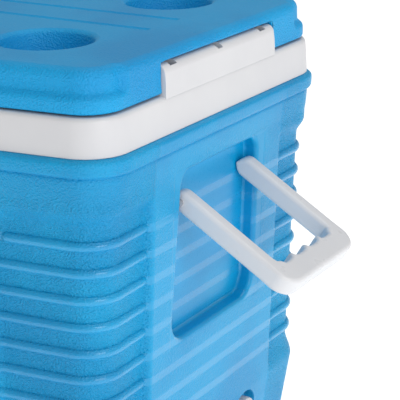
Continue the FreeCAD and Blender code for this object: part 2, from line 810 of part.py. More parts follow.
scallop_pitch = BAIL_INNER / 2
scallops = [
    rod("scallop_%d" % i, "bail_scallop", dim("bail_thick") + 2,
        (grip_edge + "bail_scallop_depth" - "bail_scallop", scallop_pitch * (i - 1.5), -tail - 1), "z")
    for i in range(4)
]
ear_bores = rod("ear_bores", dim("bail_pin") + "running_gap", bail_half * 2, (0, -bail_half, 0), "y")
ear_rounds = rod("ear_rounds", tail, bail_half * 2, (0, -bail_half, 0), "y")
bail_reach_box = box("bail_reach_box", (0, -bail_half, -tail), ("bail_reach", bail_half, tail))
bail_form = common("bail_form", bail_body, fuse("bail_envelope", ear_rounds, bail_reach_box))
bail_handle = cut("bail_handle", bail_form, ear_bores, *scallops)
BAIL_PLACE = Placement(Vector(), Rotation(Vector(0, 1, 0), SIZES["bail_droop"]))
bail_handle.Placement = BAIL_PLACE
bind(bail_handle, Placement__Base__x="bail_x", Placement__Base__z="bail_level")

pin_start = BAIL_INNER + 2
pin_length = dim("pocket_half_neck") + 3.6 - pin_start
bail_pins = fuse("bail_pins", *[
    rod("bail_pin_%d" % i, "bail_pin", pin_length, ("bail_x", start, "bail_level"), "y")
    for i, start in enumerate([pin_start, -pin_start - pin_length])])

# ---------------------------------------------------------------- drain

drain_wall = dim("half_length") - wall_insets("drain_level")[0] - "drain_recess_depth"
liner_slope = (dim("liner_foot_inset") - "mouth_inset") / (dim("collar_bottom") - "liner_foot")
liner_x = dim("half_length") - "mouth_inset" - liner_slope * (dim("collar_bottom") - "drain_level")
seat_x = liner_x - "liner_wall" - "drain_flange_thick"


def tube(name, outer, inner, length, start, along):
    """A round tube: a bar with a coaxial bore."""
    return cut(name, rod(name + "_bar", outer, length, start, along),
               rod(name + "_bore", inner, length, start, along))


drain_bar = rod("drain_bar", dim("drain_tube") - "running_gap", drain_wall + "drain_stub" - seat_x,
                (seat_x, "drain_y", "drain_level"), "x")
drain_head = rod("drain_head", "drain_flange", "drain_flange_thick",
                 (seat_x - "drain_flange_thick", "drain_y", "drain_level"), "x")
drain_spout = cut("drain_spout", fuse("drain_solid", drain_bar, drain_head),
                  rod("drain_way", "drain_bore", 80, (seat_x - 10, "drain_y", "drain_level"), "x"))
drain_gasket = tube("drain_gasket", "drain_ring", "drain_tube", "drain_ring_thick",
                    (drain_wall, "drain_y", "drain_level"), "x")
cap_start = drain_wall + "drain_cap_seat"
drain_cap = cut("drain_cap",
                rod("cap_bar", "drain_cap", "drain_cap_thick",
                    (cap_start, "drain_y", "drain_level"), "x"),
                rod("cap_room", dim("drain_tube") + "drain_cap_gap", "drain_cap_hollow",
                    (cap_start, "drain_y", "drain_level"), "x"))

# ---------------------------------------------------------------- wheels and axle

axle_half = dim("wheel_inner_y") + "wheel_width" + "axle_over"
axle_x = -dim("axle_x")
axle = rod("axle", "axle_radius", axle_half * 2, (axle_x, -axle_half, "wheel_radius"), "y")
nodes_by_side = {}
for side_name, side in (("left", 1), ("right", -1)):
    inner = dim("wheel_inner_y")
    start = inner if side > 0 else -inner - "wheel_width"
    face = inner + "wheel_width" if side > 0 else -inner - "wheel_width"
    place = (axle_x, start, "wheel_radius")
    hub_bar = rod("hub_bar_" + side_name, "hub_radius", "wheel_width", place, "y")
    bore = rod("hub_bore_" + side_name, dim("axle_radius") + "running_gap", "wheel_width", place, "y")
    dish_start = face - "hub_dish" if side > 0 else face
    dish = tube("hub_dish_" + side_name, dim("hub_radius") - "hub_rim", "hub_boss", "hub_dish",
                (axle_x, dish_start, "wheel_radius"), "y")
    nodes_by_side["hub_" + side_name] = cut("hub_" + side_name, hub_bar, bore, dish)
    tyre_bar = rod("tyre_bar_" + side_name, "wheel_radius", "wheel_width", place, "y")
    tyre_soft = rounded("tyre_soft_" + side_name, tyre_bar, "tyre_round",
                         lambda edge: isinstance(edge.Curve, Part.Circle))
    nodes_by_side["tyre_" + side_name] = cut(
        "tyre_" + side_name, tyre_soft,
        rod("tyre_bore_" + side_name, "hub_radius", "wheel_width", place, "y"))


def both_sides(name, outer, inner, near, thick):
    """The same ring at both ends of the axle."""
    near = dim(near)
    return fuse(name, *[
        tube("%s_%d" % (name, i), outer, inner, thick, (axle_x, start, "wheel_radius"), "y")
        for i, start in enumerate([near, -near - thick])])


wheel_washers = both_sides("wheel_washers", "washer_radius", "axle_radius",
                           dim("well_y") + 0.4, dim("washer_thick"))
axle_caps = both_sides("axle_caps", "axle_cap_radius", "axle_radius",
                       dim("wheel_inner_y") + "wheel_width" + 0.6, dim("axle_cap_thick"))

# ---------------------------------------------------------------- feet

foot_parts = {}
for side_name, side in (("left", 1), ("right", -1)):
    y = dim("foot_y") * side
    block = box("foot_block_" + side_name,
                (dim("foot_x") - dim("foot_length") / 2, y - dim("foot_width") / 2, 0),
                (dim("foot_x") + dim("foot_length") / 2, y + dim("foot_width") / 2, "base_level"))
    soft = rounded("foot_soft_" + side_name, block, "foot_round",
                   lambda edge: abs(edge.tangentAt(edge.FirstParameter).z) > 0.9)
    holes = []
    for i, (x, screw_y) in enumerate(FOOT_SCREWS):
        if screw_y.value * side > 0:
            holes.append(rod("foot_bore_%s_%d" % (side_name, i), "screw_radius", 20,
                             (x, screw_y, -1), "z"))
            holes.append(rod("foot_sink_%s_%d" % (side_name, i), dim("screw_head") + "screw_head_gap",
                             dim("screw_sink") + 1, (x, screw_y, -1), "z"))
    foot_parts["foot_" + side_name] = cut("foot_" + side_name, soft, *holes)
screw_bits = []
for i, (x, y) in enumerate(FOOT_SCREWS):
    screw_bits.append(rod("foot_shank_%d" % i, "screw_radius",
                          dim("base_level") + "skin" - "screw_sink", (x, y, "screw_sink"), "z"))
    screw_bits.append(rod("foot_head_%d" % i, "screw_head", "screw_head_thick",
                          (x, y, dim("screw_sink") - "screw_head_thick"), "z"))
foot_screws = fuse("foot_screws", *screw_bits)

# ---------------------------------------------------------------- tow handle

tow_x = -dim("tow_x")
middle_radius = dim("guide_radius") - "tube_wall" - "tube_gap"
inner_radius = middle_radius - "tube_wall" - "tube_gap"
tow_parts = {}
for side_name, side in (("left", 1), ("right", -1)):
    y = dim("tow_y") * side
    tow_parts["tow_guide_" + side_name] = tube(
        "tow_guide_" + side_name, "guide_radius", dim("guide_radius") - "tube_wall",
        dim("guide_head") - "guide_foot", (tow_x, y, "guide_foot"), "z")
    tow_parts["tow_tube_" + side_name] = tube(
        "tow_tube_" + side_name, middle_radius, middle_radius - "tube_wall",
        dim("guide_head") - "guide_foot" + "middle_tube_over",
        (tow_x, y, dim("guide_foot") + "middle_tube_lift"), "z")
    tow_parts["tow_rod_" + side_name] = tube(
        "tow_rod_" + side_name, inner_radius, inner_radius - "tube_wall",
        dim("tow_grip_level") - "guide_foot" - "inner_tube_lift",
        (tow_x, y, dim("guide_foot") + "inner_tube_lift"), "z")

grip_bar = rod("grip_bar", "tow_grip_radius", dim("tow_grip_half") * 2,
               (tow_x, -dim("tow_grip_half"), "tow_grip_level"), "y")
grip_soft = rounded("grip_soft", grip_bar, "tow_grip_round",
                    lambda edge: isinstance(edge.Curve, Part.Circle))


def at_both_rods(name, radius):
    """An upright bar under the grip at each of the two rods."""
    return [
        rod("%s_%d" % (name, i), radius, dim("tow_grip_level") - "tow_socket_foot",
            (tow_x, dim("tow_y") * side, "tow_socket_foot"), "z")
        for i, side in enumerate((1, -1))
    ]


sockets = at_both_rods("grip_socket", "tow_socket_radius")
socket_bores = at_both_rods("grip_socket_bore", inner_radius)
tow_grip = cut("tow_grip", fuse("grip_solid", grip_soft, *sockets), *socket_bores)

bracket_half = dim("tow_y") + "bracket_over"
bracket_face = tow_x - "guide_radius" - "bracket_front"
wall_reach = -dim("tow_screw_tip")


def bracket(name, low, high, through):
    """A moulded cross-piece that fits the tapered end wall."""
    block = box(name + "_block", (bracket_face, -bracket_half, low), (wall_reach, bracket_half, high))
    soft = rounded(name + "_soft", block, "bracket_round",
                   lambda edge: edge.CenterOfMass.x < bracket_face.value + 0.1)
    start = dim(low) if through else dim("guide_foot")
    tools = [outer_form]
    for i, side in enumerate((1, -1)):
        tools.append(rod("%s_guide_hole_%d" % (name, i), "guide_radius", dim(high) - start,
                         (tow_x, dim("tow_y") * side, start), "z"))
    for i, (y, level) in enumerate(TOW_SCREWS):
        if dim(low).value < level.value < dim(high).value:
            tools.append(rod("%s_screw_hole_%d" % (name, i), "screw_radius", 80,
                             (bracket_face - 8, y, level), "x"))
            tools.append(rod("%s_screw_sink_%d" % (name, i), dim("screw_head") + "screw_head_gap",
                             dim("screw_sink") + 2, (bracket_face - 2, y, level), "x"))
    return cut(name, soft, *tools)


tow_bracket_upper = bracket("tow_bracket_upper", "bracket_upper_foot", "guide_head", True)
tow_bracket_lower = bracket("tow_bracket_lower", "bracket_lower_foot", "bracket_lower_head", False)
tow_screw_bits = []
for i, (y, level) in enumerate(TOW_SCREWS):
    seat = bracket_face + "screw_sink"
    tow_screw_bits.append(rod("tow_shank_%d" % i, "screw_radius", wall_reach - seat,
                              (seat, y, level), "x"))
    tow_screw_bits.append(rod("tow_head_%d" % i, "screw_head", "screw_head_thick",
                              (seat - "screw_head_thick", y, level), "x"))
tow_screws = fuse("tow_screws", *tow_screw_bits)

# ---------------------------------------------------------------- export

doc.recompute()
pieces = [body_shell, foam_core, inner_liner, rim_collar, hinge_pin, lid_shell, lid_liner,
          lid_foam, lid_gasket, bail_handle, bail_pins, drain_spout, drain_gasket, drain_cap,
          axle, wheel_washers, axle_caps, foot_screws, tow_grip, tow_bracket_upper,
          tow_bracket_lower, tow_screws]
pieces += list(nodes_by_side.values()) + list(foot_parts.values()) + list(tow_parts.values())

failed = [thing.Name for thing in doc.Objects
          if "Invalid" in thing.State or "Error" in thing.State]
if failed:
    raise RuntimeError("did not compute: " + ", ".join(failed))
for piece in pieces:
    if piece.Shape.isNull() or not piece.Shape.isValid():
        raise RuntimeError("%s has no valid shape" % piece.Label)

# The object stands with its origin under the middle of its outer box.
low_x = min(piece.Shape.BoundBox.XMin for piece in pieces)
high_x = max(piece.Shape.BoundBox.XMax for piece in pieces)
middle_x = (low_x + high_x) / 2
os.makedirs("parts", exist_ok=True)
print("middle_x %.4f" % middle_x)
for piece in pieces:
    shape = piece.Shape.copy()
    shape.translate(Vector(-middle_x, 0, 0))
    shape.exportStep("parts/%s.step" % piece.Label)
    print(piece.Label, len(shape.Solids), round(shape.Volume / 1000, 2), "cm3")
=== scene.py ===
import math

import bmesh
import bpy
from mathutils import Matrix, Vector


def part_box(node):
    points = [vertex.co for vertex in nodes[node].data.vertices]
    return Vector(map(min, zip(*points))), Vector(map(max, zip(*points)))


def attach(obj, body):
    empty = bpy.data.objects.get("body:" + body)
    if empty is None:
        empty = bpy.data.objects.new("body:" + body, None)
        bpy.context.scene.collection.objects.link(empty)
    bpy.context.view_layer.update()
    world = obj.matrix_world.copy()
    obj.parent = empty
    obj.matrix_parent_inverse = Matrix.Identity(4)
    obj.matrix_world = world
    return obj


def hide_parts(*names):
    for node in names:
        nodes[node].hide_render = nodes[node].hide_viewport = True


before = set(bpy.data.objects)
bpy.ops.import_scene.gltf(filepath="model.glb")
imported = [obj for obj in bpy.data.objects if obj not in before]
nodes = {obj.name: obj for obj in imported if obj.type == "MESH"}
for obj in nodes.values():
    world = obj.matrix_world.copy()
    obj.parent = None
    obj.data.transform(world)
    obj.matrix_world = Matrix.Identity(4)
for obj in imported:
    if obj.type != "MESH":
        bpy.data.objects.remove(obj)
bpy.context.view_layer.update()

# ------------------------------------------------------------------ the studio
# A pale floor under two wide soft lamps and a bright sky, so that the white
# parts stand out from the ground only by their shading.
MM = 0.001
collar_low, collar_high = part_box("rim_collar")
shell_low, shell_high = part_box("body_shell")
lid_low, lid_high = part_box("lid_shell")
centre_x = (collar_low.x + collar_high.x) / 2
half_length = (collar_high.x - collar_low.x) / 2
rim_level = collar_low.z
end_x = centre_x + half_length


def paint_node(tree, kind, settings=(), inputs=()):
    """Adds one node to a material, with its settings first and then its sockets."""
    made = tree.nodes.new(kind)
    for name, value in dict(settings).items():
        setattr(made, name, value)
    for name, value in dict(inputs).items():
        if isinstance(value, Wire):
            tree.links.new(value.socket, made.inputs[name])
        else:
            made.inputs[name].default_value = value
    return made


class Wire:
    """A socket of a material, so that sums on it are written as Python."""

    def __init__(self, tree, socket):
        self.tree = tree
        self.socket = socket

    def add(self, kind, settings=(), inputs=(), output=0):
        made = paint_node(self.tree, kind, settings, inputs)
        return Wire(self.tree, made.outputs[output])

    def maths(self, operation, first, second=0.0, third=0.0):
        return self.add("ShaderNodeMath", {"operation": operation}, {0: first, 1: second, 2: third})

    def __add__(self, other):
        return self.maths("ADD", self, other)

    def __sub__(self, other):
        return self.maths("SUBTRACT", self, other)

    def __rsub__(self, other):
        return self.maths("SUBTRACT", other, self)

    def __mul__(self, other):
        return self.maths("MULTIPLY", self, other)

    __radd__ = __add__
    __rmul__ = __mul__

    def size(self):
        return self.maths("ABSOLUTE", self)

    def wave(self):
        return self.maths("COSINE", self)

    def ramp(self, low, high):
        """0 below low, 1 above high, and smooth between; high may be the lower one."""
        rising = high > low
        return self.add("ShaderNodeMapRange", {"interpolation_type": "SMOOTHSTEP"},
                        {0: self, 1: min(low, high), 2: max(low, high),
                         3: 0.0 if rising else 1.0, 4: 1.0 if rising else 0.0})

    def blend(self, first, second):
        """A colour between two others, by this value."""
        return self.add("ShaderNodeMix", {"data_type": "RGBA"}, {0: self, 6: first, 7: second}, 2)

    def noise(self, scale, detail=2.0, rough=0.5):
        """Cloudy noise on a vector wire; scale is blotches per metre."""
        return self.add("ShaderNodeTexNoise", (),
                        {"Vector": self, "Scale": scale, "Detail": detail, "Roughness": rough})

    def pebbles(self, scale):
        """Distance to the nearest of many scattered grains."""
        return self.add("ShaderNodeTexVoronoi", {"feature": "SMOOTH_F1"},
                        {"Vector": self, "Scale": scale, "Smoothness": 0.6})


def colour(red, green, blue):
    """A surface colour from screen values between 0 and 255."""
    def straight(value):
        value = value / 255
        return value / 12.92 if value <= 0.04045 else ((value + 0.055) / 1.055) ** 2.4
    return (straight(red), straight(green), straight(blue), 1.0)


class Finish:
    """A new material with its shader and the place of each point on the object."""

    def __init__(self, name):
        self.material = bpy.data.materials.new(name)
        self.material.use_nodes = True
        self.tree = self.material.node_tree
        self.shader = self.tree.nodes["Principled BSDF"]
        where = paint_node(self.tree, "ShaderNodeTexCoord")
        self.place = Wire(self.tree, where.outputs["Object"])
        split = paint_node(self.tree, "ShaderNodeSeparateXYZ", (), {0: self.place})
        self.x, self.y, self.z = [Wire(self.tree, socket) for socket in split.outputs]

    def set(self, **sockets):
        """Sets the shader's sockets; an underscore stands for a space."""
        for name, value in sockets.items():
            socket = self.shader.inputs[name.replace("_", " ")]
            if isinstance(value, Wire):
                self.tree.links.new(value.socket, socket)
            else:
                socket.default_value = value
        return self

    def bump(self, height, strength, distance=0.001):
        """Raises the surface by a height wire, in millimetres at full strength."""
        made = self.place.add("ShaderNodeBump", (), {"Height": height, "Strength": strength,
                                                     "Distance": distance})
        return self.set(Normal=made)


floor_finish = Finish("floor_paper")
floor_tone = floor_finish.place.noise(3.0).ramp(0.3, 0.7)
floor_finish.set(Base_Color=floor_tone.blend((0.93, 0.93, 0.93, 1), (0.95, 0.95, 0.95, 1)),
                 Roughness=0.9, Emission_Color=(1, 1, 1, 1), Emission_Strength=0.62)

bpy.ops.object.select_all(action="DESELECT")
bpy.ops.mesh.primitive_plane_add(size=40, location=(0, 0, 0))
floor = bpy.context.object
floor.name = "studio_floor"
floor.data.materials.append(floor_finish.material)

bpy.context.scene.view_settings.view_transform = "Standard"
world = bpy.data.worlds.new("studio_sky")
world.use_nodes = True
world.node_tree.nodes["Background"].inputs["Color"].default_value = (1.0, 1.0, 1.0, 1)
world.node_tree.nodes["Background"].inputs["Strength"].default_value = 0.40
bpy.context.scene.world = world


def lamp(name, spot, aim, size, power):
    """A square soft box that faces a point."""
    light = bpy.data.lights.new(name, "AREA")
    light.shape = "SQUARE"
    light.size = size
    light.energy = power
    holder = bpy.data.objects.new(name, light)
    bpy.context.scene.collection.objects.link(holder)
    holder.location = spot
    holder.rotation_euler = (Vector(aim) - Vector(spot)).to_track_quat("-Z", "Y").to_euler()


lamp("key_softbox", (2.1, -0.95, 1.05), (0.25, -0.1, 0.32), 1.1, 18)
lamp("top_softbox", (0.5, 0.3, 2.6), (0.2, 0, 0.3), 2.0, 15)

# The lens is long and close to one upper corner of the cooler.
LENS = 133.7
CAMERA_OUT = 619.6 * MM
CAMERA_FRONT = -1069.0 * MM
CAMERA_UP = 328.6 * MM
AZIMUTH = math.radians(31.08)
ELEVATION = math.radians(18.345)
ROLL = math.radians(-0.6)
camera_data = bpy.data.cameras.new("camera")
camera_data.lens = LENS
camera_data.sensor_width = 36
camera_data.clip_start = 0.01
camera = bpy.data.objects.new("camera", camera_data)
bpy.context.scene.collection.objects.link(camera)
camera.matrix_world = (
    Matrix.Translation((end_x + CAMERA_OUT, CAMERA_FRONT, rim_level + CAMERA_UP))
    @ Matrix.Rotation(AZIMUTH, 4, "Z")
    @ Matrix.Rotation(math.pi / 2 - ELEVATION, 4, "X")
    @ Matrix.Rotation(ROLL, 4, "Z"))
bpy.context.scene.camera = camera

# ------------------------------------------------------------------ outer shell
# The blue case is blown polyethylene, tapered for the mould, with a lip bead
# under the collar, ribbed panels sunk into its four corners, a pocket for the
# bail handle in one end and wells for the wheels at the other.
SIDE_BOW = 22 * MM
CORNER = 37 * MM
crown = collar_high.y
side_radius = (half_length ** 2 + SIDE_BOW ** 2) / (2 * SIDE_BOW)
side_far = side_radius - crown
HOLD_Y = 0.118
HOLD_X = 0.205


def plan_spot(station, end_inset, side_inset, corner):
    """A point of the plan outline and its outward direction, in one quarter."""
    kind, along = station
    far_x = half_length - end_inset
    bend = side_radius - side_inset
    corner_x = far_x - corner
    reach = math.sqrt((bend - corner) ** 2 - corner_x ** 2)
    corner_y = reach - side_far
    swing = math.pi / 2 - math.atan2(corner_x, reach)
    if kind == "end":
        y = along
        if along > HOLD_Y:
            y = HOLD_Y + (along - HOLD_Y) * (corner_y - HOLD_Y) / (base_corner_y - HOLD_Y)
        return far_x, y, 1.0, 0.0
    if kind == "corner":
        turn = along * swing
        out = Vector((math.cos(turn), math.sin(turn)))
        return corner_x + corner * out.x, corner_y + corner * out.y, out.x, out.y
    x = along
    if along > HOLD_X:
        touch = bend * corner_x / (bend - corner)
        x = HOLD_X + (along - HOLD_X) * (touch - HOLD_X) / (base_touch_x - HOLD_X)
    rise = math.sqrt(bend ** 2 - x ** 2)
    return x, rise - side_far, x / bend, rise / bend


base_corner_x = half_length - CORNER
base_reach = math.sqrt((side_radius - CORNER) ** 2 - base_corner_x ** 2)
base_corner_y = base_reach - side_far
base_touch_x = side_radius * base_corner_x / (side_radius - CORNER)


def spread(low, high, count):
    return [low + (high - low) * i / count for i in range(count + 1)]


def all_round(quarter):
    """One quarter's stations, mirrored into a closed ring."""
    ring = [(s, 1, 1) for s in quarter]
    ring += [(s, -1, 1) for s in reversed(quarter[:-1])]
    ring += [(s, -1, -1) for s in quarter[1:]]
    ring += [(s, 1, -1) for s in reversed(quarter[1:-1])]
    return ring


def clear_selection():
    if bpy.context.object and bpy.context.object.mode != "OBJECT":
        bpy.ops.object.mode_set(mode="OBJECT")
    bpy.ops.object.select_all(action="DESELECT")


def take(piece):
    """Makes a piece the only selected and active object."""
    clear_selection()
    piece.select_set(True)
    bpy.context.view_layer.objects.active = piece


def editing(piece, mode):
    """Opens a piece in edit mode with nothing selected."""
    take(piece)
    bpy.ops.object.mode_set(mode="EDIT")
    bpy.ops.mesh.select_mode(type=mode)
    bpy.ops.mesh.select_all(action="DESELECT")
    mesh = bmesh.from_edit_mesh(piece.data)
    mesh.normal_update()
    return mesh


def pick(piece, mode, test):
    """Selects the vertices, edges or faces that a test picks, in edit mode."""
    mesh = editing(piece, mode)
    chosen = {"VERT": mesh.verts, "EDGE": mesh.edges, "FACE": mesh.faces}[mode]
    count = 0
    for element in chosen:
        if test(element):
            element.select_set(True)
            count += 1
    mesh.select_flush_mode()
    bmesh.update_edit_mesh(piece.data)
    return count


def done(piece, angle=35):
    """Leaves edit mode, bakes the object's place into its mesh and shades it smooth.

    The shading leans to the larger faces, so that the flats beside a rounding stay flat.
    """
    take(piece)
    bpy.ops.object.transform_apply(location=True, rotation=True, scale=True)
    bpy.ops.object.shade_smooth_by_angle(angle=math.radians(angle))
    even = piece.modifiers.new("even_shading", "WEIGHTED_NORMAL")
    even.keep_sharp = True
    bpy.ops.object.modifier_apply(modifier=even.name)
    return piece


def wrap(name, quarter, profile, sink, closed):
    """A sheet bent round the plan outline, row by row up a profile.

    Each profile row is (level, end inset, side inset, corner radius); sink
    gives how far a point is pushed in. A closed profile joins its last row to
    its first, and an open one has its two mouths filled.
    """
    ring = all_round(quarter)
    rows = profile + profile[:1] if closed else profile
    columns = len(ring)
    bpy.ops.object.select_all(action="DESELECT")
    bpy.ops.mesh.primitive_grid_add(x_subdivisions=columns, y_subdivisions=len(rows) - 1, size=2)
    piece = bpy.context.object
    piece.name = name
    for vertex in piece.data.vertices:
        column = round((vertex.co.x + 1) / 2 * columns) % columns
        row = round((vertex.co.y + 1) / 2 * (len(rows) - 1))
        level, end_inset, side_inset, corner = rows[row]
        station, sign_x, sign_y = ring[column]
        x, y, out_x, out_y = plan_spot(station, end_inset, side_inset, corner)
        push = sink(station, level, row) if sink else 0.0
        vertex.co = (centre_x + sign_x * (x - out_x * push), sign_y * (y - out_y * push), level)
    take(piece)
    bpy.ops.object.mode_set(mode="EDIT")
    bpy.ops.mesh.select_all(action="SELECT")
    bpy.ops.mesh.remove_doubles(threshold=2e-6)
    if not closed:
        bpy.ops.mesh.select_all(action="DESELECT")
        bpy.ops.mesh.select_mode(type="EDGE")
        bpy.ops.mesh.select_non_manifold()
        bpy.ops.mesh.edge_face_add()
        bpy.ops.mesh.select_all(action="DESELECT")
    bpy.ops.mesh.select_all(action="SELECT")
    bpy.ops.mesh.normals_make_consistent(inside=False)
    bpy.ops.object.mode_set(mode="OBJECT")
    return piece


def carve(piece, tool, operation="DIFFERENCE", solver="EXACT"):
    """Cuts one solid with another, or joins them, and removes the second."""
    take(piece)
    knife = piece.modifiers.new("carve", "BOOLEAN")
    knife.operation = operation
    knife.object = tool
    knife.solver = solver
    bpy.ops.object.modifier_apply(modifier=knife.name)
    bpy.data.objects.remove(tool)


def soften(piece, width, segments, test):
    """Rounds the edges that a test picks."""
    count = pick(piece, "EDGE", test)
    if count:
        bpy.ops.mesh.bevel(offset=width, segments=segments, affect="EDGES", clamp_overlap=False)
    bpy.ops.object.mode_set(mode="OBJECT")
    return count


def block(name, low, high):
    """A cube primitive between two corners."""
    low, high = Vector(low), Vector(high)
    bpy.ops.object.select_all(action="DESELECT")
    bpy.ops.mesh.primitive_cube_add(size=1, location=(low + high) / 2, scale=high - low)
    made = bpy.context.object
    made.name = name
    bpy.ops.object.transform_apply(location=True, rotation=True, scale=True)
    return made


def drum(name, radius, start, length, along, sides=64, far_radius=None):
    """A cylinder or cone primitive that runs from a point along an axis."""
    way = {"x": Vector((1, 0, 0)), "y": Vector((0, 1, 0)), "z": Vector((0, 0, 1))}[along]
    turn = {"x": (0, math.pi / 2, 0), "y": (-math.pi / 2, 0, 0), "z": (0, 0, 0)}[along]
    bpy.ops.object.select_all(action="DESELECT")
    bpy.ops.mesh.primitive_cone_add(
        vertices=sides, radius1=radius, radius2=radius if far_radius is None else far_radius,
        depth=length, location=Vector(start) + way * length / 2, rotation=turn)
    made = bpy.context.object
    made.name = name
    bpy.ops.object.transform_apply(location=True, rotation=True, scale=True)
    return made


PANEL_DEPTH = 6.5 * MM
PANEL_X = 172 * MM
PANEL_Y = 107 * MM
PANEL_HEAD = rim_level - 45 * MM
PANEL_FOOT = rim_level - 294 * MM
PANEL_ROUND = 28 * MM
RIBS = 9
RIB_TOP = 74.5 * MM
RIB_PITCH = 23.4 * MM
RIB_HALF = 4.5 * MM
RIB_HEIGHT = 3.7 * MM
RIB_END = 0.191
RIB_BULGE = 20 * MM
END_TAPER = 0.048
SIDE_TAPER = 0.010
FOOT_TAPER = 0.100


def smooth(value):
    value = min(max(value, 0.0), 1.0)
    return value * value * (3 - 2 * value)


def panel_sink(station, level, row):
    """How deep the corner panels and their ribs lie at a point."""
    kind, along = station
    if row < inner_rows or not PANEL_FOOT < level < PANEL_HEAD:
        return 0.0
    edge = 1.0
    inward = 1.0
    if kind == "end":
        edge = smooth((along - PANEL_Y) / (6 * MM))
    if kind == "side":
        inward = along - PANEL_X
    head = (PANEL_HEAD - level) * 1.05
    foot = (level - PANEL_FOOT) * 0.65
    near = min(head, foot)
    if inward < PANEL_ROUND and near < PANEL_ROUND:
        inside = PANEL_ROUND - math.hypot(PANEL_ROUND - inward, PANEL_ROUND - near)
    else:
        inside = min(inward, near)
    depth = PANEL_DEPTH * edge * smooth(inside / (15 * MM))
    index = round((rim_level - RIB_TOP - level) / RIB_PITCH)
    if not 0 <= index < RIBS:
        return depth
    off = level - (rim_level - RIB_TOP - RIB_PITCH * index)
    if kind == "side":
        stop = RIB_END - RIB_BULGE * math.sin(math.pi * index / (RIBS - 1)) + RIB_HALF
        off = math.hypot(off, max(0.0, stop - along))
    if kind == "end":
        off = math.hypot(off, max(0.0, PANEL_Y + 8 * MM - along))
    bump = max(0.0, 1 - (off / RIB_HALF) ** 2) ** 0.7
    return max(0.0, depth - RIB_HEIGHT * bump * min(1.0, depth / PANEL_DEPTH * 1.2))


shell_quarter = [("end", y * MM) for y in
                 (0, 34, 68, 105, 107, 108.5, 110, 111.5, 113, 115, 118, 122, 127, 133, 140, 146)]
shell_quarter += [("corner", f) for f in spread(0, 1, 14)]
shell_quarter += [("side", x * MM) for x in
                  [250, 240, 232, 225, 219, 214] + spread(210, 172, 19)
                  + [168, 160, 148, 132, 112, 90, 66, 44, 22, 0]]


def wall_row(drop, out=0.0):
    """A profile row of the tapered wall, a drop below the rim."""
    end = drop * END_TAPER
    side = drop * SIDE_TAPER
    below = max(0.0, drop - 0.294) * FOOT_TAPER
    return (rim_level - drop, end + below - out, side + below - out, CORNER + max(out, 0.0))


shell_profile = []
for level, inset in ((64, 64), (200, 46), (390, 20), (398, 18), (400, 14)):
    shell_profile.append((level * MM, inset * MM, inset * MM, 26 * MM))
for drop, out in ((0, -4), (0.1, -0.5), (0.5, 0.6), (1.0, 1.8), (1.6, 3.0), (2.4, 4.0), (3.5, 4.7),
                  (5.2, 5.0), (8, 5.0), (11.6, 4.9), (13.2, 4.4), (14.3, 3.5), (14.9, 2.3),
                  (15.1, 1.0), (15.5, 0.3), (16.3, 0.3), (17.2, 0.9), (19, 1.2), (24, 1.1), (32, 0.6)):
    shell_profile.append(wall_row(drop * MM, out * MM))
inner_rows = 5
drops = [36, 39.5, 42, 44, 46, 48, 50.5, 53, 55.5, 58, 60.5, 64]
for i in range(RIBS):
    middle = 74.5 + 23.4 * i
    drops += [middle + step for step in (-6.0, -5.0, -4.6, -4.0, -3.2, -2.2, -1.1, 0,
                                         1.1, 2.2, 3.2, 4.0, 4.6, 5.0, 6.5, 11.7)]
drops += [279, 283, 287, 291, 294, 297, 305, 320, 345, 366, 376]
shell_profile += [wall_row(drop * MM) for drop in drops]
for turn in spread(15, 90, 5):
    drop = 376 * MM + 8 * MM * math.sin(math.radians(turn))
    inset = 8 * MM * (1 - math.cos(math.radians(turn)))
    level, end, side, corner = wall_row(drop)
    shell_profile.append((level, end + inset, side + inset, corner - inset))

shell = wrap("case_shell", shell_quarter, shell_profile, panel_sink, closed=False)


def wall_x(level):
    """The handle end's wall plane at a level."""
    return end_x - (rim_level - level) * END_TAPER


# The flat of each end wall becomes one face, so that its openings cut cleanly.
for sign in (1, -1):
    pick(shell, "FACE", lambda face: face.normal.x * sign > 0.99
         and abs(face.calc_center_median().y) < 105 * MM
         and abs(face.calc_center_median().x - centre_x) > 0.25
         and rim_level - 0.294 < face.calc_center_median().z < rim_level - 36 * MM)
    bpy.ops.mesh.dissolve_faces()
    bpy.ops.object.mode_set(mode="OBJECT")

POCKET_DEPTH = 13.5 * MM
POCKET_HEAD = rim_level - 39.5 * MM
POCKET_FOOT = rim_level - 192 * MM
POCKET_HALF = 75 * MM
NECK_HALF = 64 * MM


def pocket_tool(name, half, low, high, turn_low, turn_high):
    """An upright block for the pocket, rounded across its foot and its head."""
    tool = block(name, (0, -half, low), (0.06, half, high))
    pick(tool, "EDGE", lambda edge: abs(edge.verts[0].co.x - edge.verts[1].co.x) > 0.03
         and edge.verts[0].co.z > (low + high) / 2)
    bpy.ops.mesh.bevel(offset=turn_high, segments=8, affect="EDGES")
    bpy.ops.object.mode_set(mode="OBJECT")
    pick(tool, "EDGE", lambda edge: abs(edge.verts[0].co.x - edge.verts[1].co.x) > 0.03
         and edge.verts[0].co.z < low + 1e-5)
    bpy.ops.mesh.bevel(offset=turn_low, segments=10, affect="EDGES")
    bpy.ops.object.mode_set(mode="OBJECT")
    return tool


def seat_tool(tool):
    """Leans a pocket tool on to the tapered wall and widens it downwards."""
    for vertex in tool.data.vertices:
        down = (POCKET_HEAD - vertex.co.z) / (POCKET_HEAD - POCKET_FOOT)
        spread_out = 1.5 * MM if vertex.co.y > 0 else 11 * MM
        vertex.co.y *= (NECK_HALF + spread_out * down) / POCKET_HALF
        vertex.co.x = wall_x(vertex.co.z) - POCKET_DEPTH + vertex.co.x


